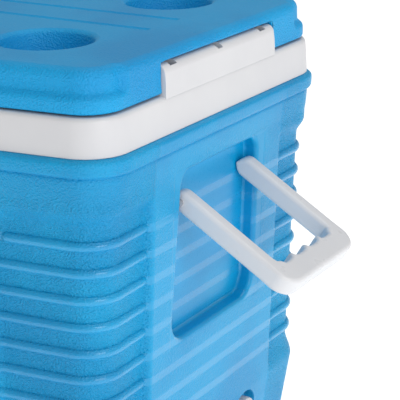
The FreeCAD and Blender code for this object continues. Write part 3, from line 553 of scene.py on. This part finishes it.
belly = pocket_tool("pocket_belly", POCKET_HALF, POCKET_FOOT, POCKET_HEAD, 22 * MM, 13 * MM)
seat_tool(belly)
soften(belly, 3 * MM, 4, lambda edge: edge.calc_face_angle(0) > 0.9
       and all(abs(v.co.x - wall_x(v.co.z) + POCKET_DEPTH) < 1e-4 for v in edge.verts))
carve(shell, belly)
soften(
    shell, 4.5 * MM, 5,
    lambda edge: edge.calc_face_angle(0) > 0.9
    and all(abs(v.co.x - wall_x(v.co.z)) < 1e-4 and abs(v.co.y) < POCKET_HALF + 1e-3
            and POCKET_FOOT - 1e-3 < v.co.z < POCKET_HEAD + 1e-3 for v in edge.verts))

# The drain's recess is a round dimple low on the handle end.
cap_low, cap_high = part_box("drain_cap")
drain_y = (cap_low.y + cap_high.y) / 2
drain_z = (cap_low.z + cap_high.z) / 2
DRAIN_RECESS = 22 * MM
drain_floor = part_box("drain_gasket")[0].x
recess = drum("drain_recess", DRAIN_RECESS - 2 * MM, (drain_floor, drain_y, drain_z), 0.06, "x", 48,
              DRAIN_RECESS + 10 * MM)
carve(shell, recess)

# The wheel wells are open below, outwards and behind.
hub_low, hub_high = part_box("hub_left")
axle_x = (hub_low.x + hub_high.x) / 2
axle_z = (hub_low.z + hub_high.z) / 2
WELL_RADIUS = 62 * MM
WELL_Y = hub_low.y - 4 * MM
for sign in (1, -1):
    arch = drum("wheel_well", WELL_RADIUS, (axle_x, WELL_Y if sign > 0 else -WELL_Y - 0.12, axle_z),
                0.12, "y", 48)
    for way in (Vector((-0.15, 0, 0)), Vector((0, 0, -0.15))):
        pick(arch, "FACE", lambda face: face.normal.dot(way) > 0.001)
        bpy.ops.mesh.extrude_region_move(TRANSFORM_OT_translate={"value": way})
        bpy.ops.object.mode_set(mode="OBJECT")
    take(arch)
    carve(shell, arch)
done(shell, 40)
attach(shell, "cooler")
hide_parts("body_shell")

# Blue polyethylene with a pebbled grain, calmer on the ribs, the ends and the
# pocket's floor, with a sheen in bands at the levels of the ribs.
CASE_BLUE = (0.002, 0.350, 0.670, 1.0)
CASE_DEEP = (0.001, 0.285, 0.590, 1.0)


def blue_plastic(name, light, deep, grain_scale):
    """Grained blue plastic whose tone drifts a little over the moulding."""
    finish = Finish(name)
    drift = finish.place.noise(9.0, 3.0).ramp(0.35, 0.65)
    speck = finish.place.noise(420.0, 2.0)
    grain = finish.place.pebbles(grain_scale)
    fine = finish.place.noise(grain_scale * 1.7, 2.0, 0.6)
    finish.grain = grain * 0.85 + fine * 0.4
    tone = (drift * 0.55 + speck * 0.25).ramp(0.1, 0.75)
    finish.set(Base_Color=tone.blend(light, deep), Specular_IOR_Level=0.36)
    return finish


case = blue_plastic("case_polyethylene", CASE_BLUE, CASE_DEEP, 640.0)
in_pocket = (case.x - (end_x - 40 * MM)).ramp(-0.001, 0.0)
in_pocket = in_pocket * (case.y.size()).ramp(POCKET_HALF + 4 * MM, POCKET_HALF + 2 * MM)
in_pocket = in_pocket * (case.z - POCKET_FOOT).ramp(-6 * MM, -3 * MM)
in_pocket = in_pocket * (case.z - POCKET_HEAD).ramp(4 * MM, 1 * MM)
on_end = (case.x - centre_x).size().ramp(half_length - 30 * MM, half_length - 22 * MM)
on_end = on_end * case.y.size().ramp(PANEL_Y + 4 * MM, PANEL_Y)
on_rib = ((case.z - (rim_level - RIB_TOP)) * (math.tau / RIB_PITCH)).wave().ramp(0.35, 0.75)
rib_foot = rim_level - RIB_TOP - RIB_PITCH * (RIBS - 1)
on_rib = on_rib * (case.z - rib_foot).ramp(-9 * MM, -6 * MM)
on_rib = on_rib * (case.z - (rim_level - RIB_TOP)).ramp(9 * MM, 6 * MM)
above_panels = case.z.ramp(PANEL_HEAD, rim_level - 20 * MM)
calm = 1.0 - ((1.0 - in_pocket * 0.9) * (1.0 - on_end * 0.62)
              * (1.0 - on_rib * 0.55) * (1.0 - above_panels * 0.4))
case.set(Roughness=0.27 + (1.0 - calm) * (case.grain * 0.2 + 0.03), Coat_Weight=on_rib * 0.55,
         Coat_Roughness=0.16)
case.bump(case.grain * (1.0 - calm), 1.0, 1.5 * MM)
shell.data.materials.clear()
shell.data.materials.append(case.material)

# ------------------------------------------------------------------ rim collar
# The white collar snaps over the shell and the liner's flange. It is moulded
# polypropylene and carries the two halves of the hinge barrel on one end.
COLLAR_HEIGHT = 32 * MM
COLLAR_DRAFT = 1.7 * MM
MOUTH = 42 * MM
rim_top = rim_level + COLLAR_HEIGHT
plain_quarter = [("end", y * MM) for y in (0, 40, 80, 110, 135)]
plain_quarter += [("corner", f) for f in spread(0, 1, 16)]
plain_quarter += [("side", x * MM) for x in (250, 225, 200, 175, 150, 125, 100, 75, 50, 25, 0)]


def collar_row(level, inset, corner=None):
    return (level, inset, inset, CORNER - inset if corner is None else corner)


collar_profile = [collar_row(rim_level, 0.6 * MM), collar_row(rim_level + 0.6 * MM, 0.02 * MM)]
collar_profile += [collar_row(rim_level + rise * MM, rise * MM / 20) for rise in (8, 16, 24)]
for turn in spread(0, 90, 5):
    collar_profile.append(collar_row(
        rim_top - 4 * MM * (1 - math.sin(math.radians(turn))),
        COLLAR_DRAFT + 4 * MM * (1 - math.cos(math.radians(turn)))))
for turn in spread(0, 90, 4):
    collar_profile.append(collar_row(
        rim_top - 3 * MM * (1 - math.cos(math.radians(turn))),
        MOUTH - 3 * MM * (1 - math.sin(math.radians(turn))), 27 * MM))
collar_profile.append(collar_row(rim_level + 3.5 * MM, MOUTH, 27 * MM))
collar_profile.append(collar_row(rim_level + 3.2 * MM, 36 * MM, 27 * MM))
collar_profile.append(collar_row(rim_level + 3.2 * MM, 5 * MM))
collar_profile.append(collar_row(rim_level, 3 * MM))
collar = wrap("rim_collar_ring", plain_quarter, collar_profile, None, closed=True)

hinge_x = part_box("hinge_pin")[0].x / 2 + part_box("hinge_pin")[1].x / 2
hinge_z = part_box("hinge_pin")[0].z / 2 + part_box("hinge_pin")[1].z / 2
HINGE_HALF = 94.5 * MM
HINGE_NEAR = 90.5 * MM
HINGE_FRONT = hinge_x + 8 * MM
HINGE_BACK = hinge_x - 12 * MM
HINGE_TOP = hinge_z + 8 * MM
LUG_Y = 75 * MM
LUG_ROOM = 5.2 * MM
barrel = block("hinge_barrel", (HINGE_BACK, -HINGE_NEAR, rim_top - 2 * MM),
               (HINGE_FRONT, HINGE_HALF, HINGE_TOP))
soften(barrel, 7.5 * MM, 7, lambda edge: all(
    v.co.x > HINGE_FRONT - 1e-5 and v.co.z > HINGE_TOP - 1e-5 for v in edge.verts))
soften(barrel, 3 * MM, 4, lambda edge: edge.calc_face_angle(0) > 0.5
       and all(v.co.y > HINGE_HALF - 1e-5 and v.co.z > rim_top for v in edge.verts)
       or all(v.co.x < HINGE_BACK + 1e-5 and v.co.z > HINGE_TOP - 1e-5 for v in edge.verts))
soften(barrel, 1.2 * MM, 3, lambda edge: edge.calc_face_angle(0) > 0.5
       and all(v.co.y < -HINGE_NEAR + 1e-5 and v.co.z > rim_top for v in edge.verts))
for sign in (1, -1):
    carve(barrel, block("lug_slot", (HINGE_BACK - 5 * MM, sign * LUG_Y - LUG_ROOM, hinge_z - 6.5 * MM),
                        (hinge_x + 6 * MM, sign * LUG_Y + LUG_ROOM, HINGE_TOP + 5 * MM)))
gap = block("middle_notch", (HINGE_BACK - 1 * MM, -3 * MM, hinge_z + 2.5 * MM),
            (HINGE_FRONT - 1.2 * MM, 3 * MM, HINGE_TOP + 5 * MM))
for vertex in gap.data.vertices:
    if vertex.co.z > HINGE_TOP and vertex.co.y < 0:
        vertex.co.y -= 7 * MM
soften(gap, 1.5 * MM, 3, lambda edge: all(v.co.z < hinge_z + 3 * MM for v in edge.verts))
carve(barrel, gap)
carve(collar, barrel, "UNION")
done(collar, 32)
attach(collar, "cooler")
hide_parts("rim_collar")


def white_plastic(name, tone, shade, rough, grain_scale, grain_depth):
    """White plastic with a faint grain and uneven sheen."""
    finish = Finish(name)
    drift = finish.place.noise(14.0, 3.0).ramp(0.3, 0.7)
    grain = finish.place.noise(grain_scale, 3.0, 0.55)
    smear = finish.place.noise(60.0, 2.0).ramp(0.3, 0.75)
    finish.set(Base_Color=drift.blend(tone, shade), Roughness=smear * 0.08 + rough,
               Specular_IOR_Level=0.4)
    finish.bump(grain, 0.25, grain_depth)
    return finish


collar_white = white_plastic("collar_polypropylene", colour(214, 214, 216), colour(209, 209, 212),
                             0.34, 700.0, 0.12 * MM)
collar.data.materials.clear()
collar.data.materials.append(collar_white.material)

# ------------------------------------------------------------------ lid
# A blown blue lid with four cup wells and two drip grooves. Its foot bulges
# over the collar, its walls are grained, and a notch in its end clears the hinge
# barrel.
LID_BOTTOM = lid_low.z
LID_TOP = lid_high.z
LID_ROUND = 9 * MM
BEAD_IN = 4.2 * MM
BOSS_END = 142 * MM


def boss_rise(station, level, row):
    """Beside the hinge the wall above the bead stands flush with the bead."""
    kind, along = station
    if kind != "end" or row < bead_rows:
        return 0.0
    side = smooth((BOSS_END + 4 * MM - along) / (8 * MM))
    top = LID_TOP - level
    bent = 0.0
    if top <= LID_ROUND:
        bent = LID_ROUND - math.sqrt(max(0.0, LID_ROUND ** 2 - (LID_ROUND - top) ** 2))
    wanted = BEAD_IN + bent
    return min(0.0, wanted - lid_profile[row][1]) * side


lid_quarter = [("end", y * MM) for y in
               (0, 40, 80, 96, 110, 128, 137, 138.5, 140, 141, 142, 143, 144, 145.5, 147)]
lid_quarter += [("corner", f) for f in spread(0, 1, 18)]
lid_quarter += [("side", x * MM) for x in (245, 225, 200, 175, 150, 125, 100, 75, 50, 25, 0)]
lid_profile = [collar_row(LID_BOTTOM, 12 * MM, 27 * MM)]
for turn in spread(0, 90, 5):
    lid_profile.append(collar_row(
        LID_BOTTOM + 3 * MM * (1 - math.cos(math.radians(turn))),
        BEAD_IN + 3 * MM * (1 - math.sin(math.radians(turn)))))
for rise, inset in ((7, 4.2), (10.0, 4.25), (11.2, 4.5), (12.3, 5.1), (13.3, 6.0), (14.2, 7.1), (15.1, 8.2),
                    (16.0, 9.0), (17.0, 9.45), (18.2, 9.6), (20, 9.65), (22.5, 9.7), (25, 9.8)):
    lid_profile.append(collar_row(LID_BOTTOM + rise * MM, inset * MM))
bead_rows = 8
for turn in spread(0, 90, 8):
    lid_profile.append(collar_row(
        LID_TOP - LID_ROUND * (1 - math.sin(math.radians(turn))),
        9.8 * MM + LID_ROUND * (1 - math.cos(math.radians(turn)))))
lid = wrap("lid_moulding", lid_quarter, lid_profile, boss_rise, closed=False)

NOTCH_HALF = HINGE_HALF + 0.8 * MM
NOTCH_ROOF = 2.0 * MM
NOTCH_NEAR = HINGE_NEAR + 0.8 * MM
notch = block("lid_notch", (HINGE_BACK - 2 * MM, -NOTCH_NEAR, LID_BOTTOM - 0.02),
              (end_x + 0.02, NOTCH_HALF, HINGE_TOP + NOTCH_ROOF))
soften(notch, 4 * MM, 5, lambda edge: all(v.co.y > NOTCH_HALF - 1e-5 and v.co.z > HINGE_TOP
                                         for v in edge.verts))
carve(lid, notch)


def notch_edge(edge):
    """The upright and level edges of the notch on the end wall."""
    middle = (edge.verts[0].co + edge.verts[1].co) / 2
    edge_y = NOTCH_HALF if middle.y > 0 else NOTCH_NEAR
    at_side = abs(abs(middle.y) - edge_y) < 0.05 * MM and middle.z > LID_BOTTOM + 4 * MM
    at_roof = middle.z > HINGE_TOP - 4 * MM and abs(middle.y) <= NOTCH_HALF + 1e-5
    below_roof = middle.z < HINGE_TOP + NOTCH_ROOF + 0.1 * MM
    return (at_side or at_roof) and middle.x > HINGE_FRONT - 12 * MM and below_roof


soften(lid, 1.6 * MM, 3, lambda edge: edge.calc_face_angle(0) > 0.7 and notch_edge(edge))


def turned(name, profile, centre, along, columns, tread=None):
    """A closed profile of (radius, place) turned about an axis; tread dents it."""
    rows = profile + profile[:1]
    bpy.ops.object.select_all(action="DESELECT")
    bpy.ops.mesh.primitive_grid_add(x_subdivisions=columns, y_subdivisions=len(rows) - 1, size=2)
    made = bpy.context.object
    made.name = name
    centre = Vector(centre)
    for vertex in made.data.vertices:
        column = round((vertex.co.x + 1) / 2 * columns) % columns
        radius, place = rows[round((vertex.co.y + 1) / 2 * (len(rows) - 1))]
        if tread:
            radius -= tread(column, radius, place)
        wide = radius * math.cos(math.tau * column / columns)
        high = radius * math.sin(math.tau * column / columns)
        spot = {"x": (place, wide, high), "y": (wide, place, high), "z": (wide, high, place)}[along]
        vertex.co = centre + Vector(spot)
    take(made)
    bpy.ops.object.mode_set(mode="EDIT")
    bpy.ops.mesh.select_all(action="SELECT")
    bpy.ops.mesh.remove_doubles(threshold=2e-6)
    bpy.ops.mesh.normals_make_consistent(inside=False)
    bpy.ops.object.mode_set(mode="OBJECT")
    return made


CUP_X = 175.5 * MM
CUP_Y = 96 * MM
CUP_RADIUS = 40 * MM
CUP_DEPTH = 23 * MM
CUP_ROLL = 5.5 * MM
cup_profile = [(0.0, 0.0)]
for turn in spread(0, 80, 5):
    slope = math.radians(turn)
    cup_profile.append((CUP_RADIUS - 7.5 * MM + 5 * MM * math.sin(slope), 5 * MM * (1 - math.cos(slope))))
for turn in spread(4, 88, 8):
    slope = math.radians(turn)
    cup_profile.append((CUP_RADIUS + CUP_ROLL * (1 - math.cos(slope)),
                        CUP_DEPTH - CUP_ROLL * (1 - math.sin(slope))))
cup_profile += [(cup_profile[-1][0] + 0.1 * MM, CUP_DEPTH + 10 * MM), (0.0, CUP_DEPTH + 10 * MM)]
for sign_x in (1, -1):
    for sign_y in (1, -1):
        spot = (centre_x + sign_x * CUP_X, sign_y * CUP_Y, LID_TOP - CUP_DEPTH)
        carve(lid, turned("cup_well", cup_profile, spot, "z", 72), solver="MANIFOLD")
GROOVE_Y = 23.8 * MM
GROOVE_HALF = 231 * MM
for sign in (1, -1):
    groove = drum("drip_groove", 5 * MM, (centre_x - GROOVE_HALF, sign * GROOVE_Y, LID_TOP + 3.2 * MM),
                  GROOVE_HALF * 2, "x", 28)
    carve(lid, groove, solver="MANIFOLD")
done(lid, 38)
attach(lid, "lid")
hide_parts("lid_shell")

LID_BLUE = (0.002, 0.365, 0.740, 1.0)
LID_DEEP = (0.001, 0.300, 0.660, 1.0)
lid_blue = blue_plastic("lid_polyethylene", LID_BLUE, LID_DEEP, 640.0)
flat_top = (lid_blue.z - LID_TOP).ramp(-3 * MM, -0.5 * MM)
rough_lid = 1.0 - flat_top * 0.55
lid_blue.set(Roughness=0.38 + lid_blue.grain * 0.12)
lid_blue.bump(lid_blue.grain * rough_lid, 1.0, 1.0 * MM)
lid.data.materials.clear()
lid.data.materials.append(lid_blue.material)

# ------------------------------------------------------------------ bail handle
# A white moulded loop that swings on two pins in the pocket; its inner edge
# has four finger hollows.
pin_low, pin_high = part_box("bail_pins")
bail_x = (pin_low.x + pin_high.x) / 2
bail_z = (pin_low.z + pin_high.z) / 2
BAIL_REACH = 121 * MM
BAIL_HALF = 62 * MM
BAIL_ARM = 14 * MM
BAIL_THICK = 18.5 * MM
BAIL_GRIP = 27 * MM
BAIL_DROOP = math.radians(31)
BAIL_BEND = 17 * MM
BAIL_SOFT = 4 * MM
SCALLOP_DEEP = 4.5 * MM
arm_inner = BAIL_HALF - BAIL_ARM
grip_inner = BAIL_REACH - BAIL_GRIP


def finger_hollow(y):
    """How far the grip's inner edge is scooped at a place along it."""
    off = abs(abs(abs(y) - arm_inner / 2) - arm_inner / 4) / (arm_inner / 4)
    return SCALLOP_DEEP * math.sqrt(max(0.0, 1 - min(1.0, off) ** 2.6))


bail_run = []
for turn in spread(84, 0, 9):
    back = -BAIL_THICK / 2 * math.sin(math.radians(turn))
    bail_run.append((back, BAIL_HALF, back, arm_inner))
for x in (12, 25, 40, 60, 74, 82, 87, 90):
    bail_run.append((x * MM, BAIL_HALF, x * MM, arm_inner))
for turn in spread(0, 90, 10):
    slope = math.radians(turn)
    bail_run.append((BAIL_REACH - BAIL_BEND + BAIL_BEND * math.sin(slope),
                     BAIL_HALF - BAIL_BEND + BAIL_BEND * math.cos(slope),
                     grip_inner - 3 * MM + 3 * MM * math.sin(slope),
                     arm_inner - 3 * MM + 3 * MM * math.cos(slope)))
for y in spread(42, 0, 28):
    inner_y = min(y * MM, arm_inner - 4 * MM)
    bail_run.append((BAIL_REACH, y * MM, grip_inner + finger_hollow(inner_y), inner_y))
bail_run += [(a, -b, c, -d) for a, b, c, d in reversed(bail_run[:-1])]
section = []
for corner, (side, top) in enumerate(((1, 1), (0, 1), (0, -1), (1, -1))):
    for turn in spread(0, 90, 4):
        slope = math.radians(turn if corner % 2 == 0 else 90 - turn)
        section.append((side, top, math.sin(slope), math.cos(slope)))
bpy.ops.object.select_all(action="DESELECT")
bpy.ops.mesh.primitive_grid_add(x_subdivisions=len(section), y_subdivisions=len(bail_run) - 1, size=2)
bail = bpy.context.object
bail.name = "bail_loop"
for vertex in bail.data.vertices:
    column = round((vertex.co.x + 1) / 2 * len(section)) % len(section)
    row = round((vertex.co.y + 1) / 2 * (len(bail_run) - 1))
    outer = Vector((bail_run[row][0], bail_run[row][1], 0))
    inner = Vector((bail_run[row][2], bail_run[row][3], 0))
    across = (outer - inner).normalized()
    side, top, slide, rise = section[column]
    base = outer if side else inner
    half = math.sqrt((BAIL_THICK / 2) ** 2 - min(outer.x, 0.0) ** 2)
    fillet = min(BAIL_SOFT, half * 0.8)
    back = across * (fillet * (1 - rise)) * (-1 if side else 1)
    vertex.co = base + back + Vector((0, 0, top * (half - fillet * (1 - slide))))
take(bail)
bpy.ops.object.mode_set(mode="EDIT")
bpy.ops.mesh.select_all(action="SELECT")
bpy.ops.mesh.remove_doubles(threshold=2e-6)
bpy.ops.mesh.select_all(action="DESELECT")
bpy.ops.mesh.select_mode(type="EDGE")
bpy.ops.mesh.select_non_manifold()
bpy.ops.mesh.edge_face_add()
bpy.ops.mesh.select_all(action="SELECT")
bpy.ops.mesh.normals_make_consistent(inside=False)
bpy.ops.object.mode_set(mode="OBJECT")
for sign in (1, -1):
    bore_start = arm_inner + 1.9 * MM if sign > 0 else -arm_inner - 1.9 * MM - 20 * MM
    carve(bail, drum("pin_bore", 3.05 * MM, (0, bore_start, 0), 20 * MM, "y", 32))
bail.data.transform(Matrix.Translation((bail_x, 0, bail_z)) @ Matrix.Rotation(BAIL_DROOP, 4, "Y"))
done(bail, 40)
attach(bail, "bail")
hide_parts("bail_handle")
handle_white = white_plastic("handle_plastic", colour(219, 219, 221), colour(213, 214, 217),
                             0.27, 500.0, 0.1 * MM)
bail.data.materials.clear()
bail.data.materials.append(handle_white.material)

# ------------------------------------------------------------------ wheels
# Two grey moulded hubs with six lightening holes run on the steel axle, and
# each carries a black tyre whose tread is cut into blocks.
WHEEL_RADIUS = axle_z
WHEEL_WIDTH = hub_high.y - hub_low.y
HOLE_RING = 25.5 * MM
hub_side = [(6.06, 1.2), (6.6, 0.5), (7.4, 0.2), (13.6, 0.2), (14.6, 0.5), (15.0, 1.4), (15.8, 9.5),
            (17.2, 10.8), (33.6, 10.8), (35.0, 9.5), (35.8, 1.4), (36.2, 0.5), (37.2, 0.2),
            (39.6, 0.2), (40.6, 0.6), (40.95, 1.6)]
hub_profile = [(r * MM, y * MM) for r, y in hub_side]
hub_profile += [(r * MM, WHEEL_WIDTH - y * MM) for r, y in reversed(hub_side)]
tyre_side = [(41.0, 1.6), (41.8, 0.8), (44.0, 0.2), (49.5, 0.6), (50.0, 1.6), (50.8, 1.6), (51.4, 0.9),
             (53.2, 2.2), (54.5, 4.2), (55.0, 6.5), (55.0, 13.2), (53.4, 14.0)]
tyre_profile = [(r * MM, y * MM) for r, y in tyre_side]
tyre_profile += [(r * MM, WHEEL_WIDTH - y * MM) for r, y in reversed(tyre_side)]


def tread_blocks(column, radius, place):
    """Slots across the tread, staggered between its two halves."""
    shift = 4 if place > WHEEL_WIDTH / 2 else 0
    return 1.6 * MM if radius > WHEEL_RADIUS - 0.7 * MM and (column + shift) % 8 < 3 else 0.0


wheel_parts = {"hub": [], "tyre": []}
for side_name in ("left", "right"):
    low_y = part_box("hub_" + side_name)[0].y
    middle = (axle_x, low_y, axle_z)
    hub = turned("wheel_hub_" + side_name, hub_profile, middle, "y", 72)
    for i in range(6):
        turn = math.tau * (i + 0.5) / 6
        carve(hub, drum("hub_hole", 7.4 * MM, (axle_x + HOLE_RING * math.cos(turn), low_y - 5 * MM,
                                              axle_z + HOLE_RING * math.sin(turn)),
                        WHEEL_WIDTH + 10 * MM, "y", 32), solver="MANIFOLD")
    soften(hub, 0.9 * MM, 2, lambda edge: edge.calc_face_angle(0) > 1.2 and all(
        17.3 * MM < math.hypot(v.co.x - axle_x, v.co.z - axle_z) < 33.5 * MM for v in edge.verts))
    tyre = turned("wheel_tyre_" + side_name, tyre_profile, middle, "y", 144, tread_blocks)
    for piece, part in ((hub, "hub"), (tyre, "tyre")):
        done(piece, 30)
        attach(piece, "wheel_" + side_name)
        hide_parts(part + "_" + side_name)
        "hub_plastic" if part == "hub" else "tyre_rubber"
        piece.data.materials.clear()
        wheel_parts[part].append(piece)

hub_grey = white_plastic("hub_plastic", colour(196, 198, 202), colour(184, 187, 192),
                         0.38, 420.0, 0.12 * MM)
rubber = Finish("black_rubber")
rubber_dust = rubber.place.noise(80.0, 4.0).ramp(0.35, 0.75)
rubber.set(Base_Color=rubber_dust.blend((0.018, 0.018, 0.02, 1), (0.035, 0.035, 0.037, 1)),
           Roughness=rubber_dust * 0.2 + 0.6)
rubber.bump(rubber.place.noise(1500.0), 0.3, 0.1 * MM)
for piece in wheel_parts["hub"]:
    piece.data.materials.append(hub_grey.material)
for piece in wheel_parts["tyre"]:
    piece.data.materials.append(rubber.material)

# ------------------------------------------------------------------ tow handle grip
# A white moulded crossbar with finger rings, pushed on to the two inner tubes
# through a socket near each end.
grip_low, grip_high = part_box("tow_grip")
rod_low, rod_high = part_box("tow_rod_left")
grip_x = (grip_low.x + grip_high.x) / 2
grip_radius = (grip_high.x - grip_low.x) / 2
grip_level = grip_high.z - grip_radius
grip_half = grip_high.y
rod_y = (rod_low.y + rod_high.y) / 2
rod_radius = (rod_high.y - rod_low.y) / 2
SOCKET_RADIUS = 11 * MM
GRIP_ROUND = 6 * MM
RING_PITCH = 7.2 * MM
grip_profile = [(0.0, 0.0)]
for turn in spread(15, 90, 5):
    grip_profile.append((grip_radius - GRIP_ROUND + GRIP_ROUND * math.sin(math.radians(turn)),
                         GRIP_ROUND * (1 - math.cos(math.radians(turn)))))
for i in range(10):
    ring_y = grip_half - (10 - i) * RING_PITCH + RING_PITCH / 2
    for step, dent in ((-2.0, 0), (-1.2, 0.7), (0, 1.0), (1.2, 0.7), (2.0, 0)):
        grip_profile.append((grip_radius - dent * MM, ring_y + step * MM))
grip_profile += [(r, 2 * grip_half - y) for r, y in reversed(grip_profile)]
grip = turned("tow_crossbar", grip_profile, (grip_x, -grip_half, grip_level), "y", 48)
for sign in (1, -1):
    socket = drum("grip_socket", SOCKET_RADIUS, (grip_x, sign * rod_y, grip_low.z),
                  grip_level - grip_low.z, "z", 48)
    soften(socket, 1.5 * MM, 3, lambda edge: all(v.co.z < grip_low.z + 1e-5 for v in edge.verts))
    carve(grip, socket, "UNION", "MANIFOLD")
for sign in (1, -1):
    bore_low = grip_low.z - 5 * MM
    carve(grip, drum("grip_bore", rod_radius + 0.02 * MM, (grip_x, sign * rod_y, bore_low),
                     rod_high.z + 0.02 * MM - bore_low, "z", 48), solver="MANIFOLD")
done(grip, 32)
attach(grip, "tow_top")
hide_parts("tow_grip")
grip.data.materials.clear()
grip.data.materials.append(handle_white.material)

# ------------------------------------------------------------------ feet
# Two black rubber feet under the handle end, each held by two screws from
# below, with two grooves round its edge.
FOOT_CORNER = 6 * MM
FOOT_SCREW_OUT = 18 * MM
for side_name in ("left", "right"):
    foot_low, foot_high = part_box("foot_" + side_name)
    foot = block("rubber_foot_" + side_name, foot_low, foot_high)
    soften(foot, FOOT_CORNER, 5, lambda edge: abs(edge.verts[0].co.z - edge.verts[1].co.z) > 5 * MM)
    for level in (5.0, 10.0):
        over = Vector((0.01, 0.01, 0))
        cutter = block("foot_groove", foot_low - over, foot_high + over)
        inner = block("foot_core", foot_low + Vector((1.2, 1.2, -5)) * MM,
                      foot_high + Vector((-1.2, -1.2, 5)) * MM)
        soften(inner, 4.8 * MM, 5, lambda edge: abs(edge.verts[0].co.z - edge.verts[1].co.z) > 5 * MM)
        for vertex in cutter.data.vertices:
            vertex.co.z = (level + (0.8 if vertex.co.z > 5 * MM else -0.8)) * MM
        carve(cutter, inner, solver="MANIFOLD")
        carve(foot, cutter, solver="MANIFOLD")
    soften(foot, 1.0 * MM, 2, lambda edge: all(v.co.z < 1e-5 for v in edge.verts))
    middle_x = (foot_low.x + foot_high.x) / 2
    middle_y = (foot_low.y + foot_high.y) / 2
    for step in (-FOOT_SCREW_OUT, FOOT_SCREW_OUT):
        for radius, top in ((4.6 * MM, 6 * MM), (2.02 * MM, 0.02)):
            carve(foot, drum("foot_hole", radius, (middle_x + step, middle_y, -1 * MM),
                             top + 1 * MM, "z", 32), solver="MANIFOLD")
    done(foot, 35)
    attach(foot, "cooler")
    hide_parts("foot_" + side_name)
    foot.data.materials.clear()
    foot.data.materials.append(rubber.material)

# ------------------------------------------------------------------ drain cap
# A white screw cap with gripping flutes round its edge and a sunk face.
cap_profile = [(9.35, 0.0), (13.6, 0.0), (14.6, 0.5), (14.98, 1.5), (14.98, 8.2), (14.4, 9.8), (13.0, 10.8),
               (11.4, 10.98), (10.4, 10.6), (9.8, 9.6), (0.0, 9.4), (0.0, 6.4), (9.35, 6.4)]
cap_profile = [(r * MM, x * MM) for r, x in cap_profile]
cap = turned("drain_screw_cap", cap_profile, (cap_low.x, drain_y, drain_z), "x", 96,
             lambda column, radius, place: 0.9 * MM if radius > 14.5 * MM and column % 6 < 3 else 0.0)
done(cap, 32)
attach(cap, "drain_cap")
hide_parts("drain_cap")
cap.data.materials.clear()
cap.data.materials.append(collar_white.material)

# ------------------------------------------------------------------ carried parts
# Parts whose modelled shape is already right keep it and get their finish.


def give(finish, *names):
    for name in names:
        nodes[name].data.materials.clear()
        nodes[name].data.materials.append(finish.material)


def metal(name, tone, rough, stretch):
    """Drawn metal with fine lines along its length."""
    finish = Finish(name)
    lines = finish.place.add("ShaderNodeMapping", (), {"Vector": finish.place, "Scale": stretch})
    lines = lines.noise(900.0, 2.0)
    finish.set(Base_Color=lines.blend(tone, (tone[0] * 0.8, tone[1] * 0.8, tone[2] * 0.8, 1)),
               Metallic=1.0, Roughness=lines * 0.18 + rough)
    finish.bump(lines, 0.15, 0.05 * MM)
    return finish


liner_white = white_plastic("liner_plastic", colour(236, 236, 234), colour(230, 230, 228),
                            0.24, 300.0, 0.05 * MM)
tube_metal = metal("satin_tube", (0.72, 0.73, 0.75, 1), 0.24, (1.0, 1.0, 0.03))
zinc = metal("zinc_plate", (0.62, 0.63, 0.66, 1), 0.30, (1.0, 0.1, 1.0))
foam = Finish("poured_foam")
foam_cells = foam.place.pebbles(900.0)
foam.set(Base_Color=foam_cells.blend(colour(226, 214, 170), colour(244, 236, 202)), Roughness=0.85)
foam.bump(foam_cells, 0.5, 0.5 * MM)
seal = Finish("seal_rubber")
seal_dust = seal.place.noise(90.0, 3.0)
seal.set(Base_Color=seal_dust.blend(colour(150, 152, 155), colour(170, 172, 175)), Roughness=0.6)
give(liner_white, "inner_liner", "lid_liner")
give(foam, "foam_core", "lid_foam")
give(seal, "lid_gasket", "drain_gasket")
give(zinc, "hinge_pin", "bail_pins", "axle", "wheel_washers", "axle_caps", "foot_screws", "tow_screws")
give(tube_metal, "tow_guide_left", "tow_guide_right", "tow_tube_left", "tow_tube_right",
     "tow_rod_left", "tow_rod_right")
give(case, "tow_bracket_upper", "tow_bracket_lower")
give(collar_white, "drain_spout")
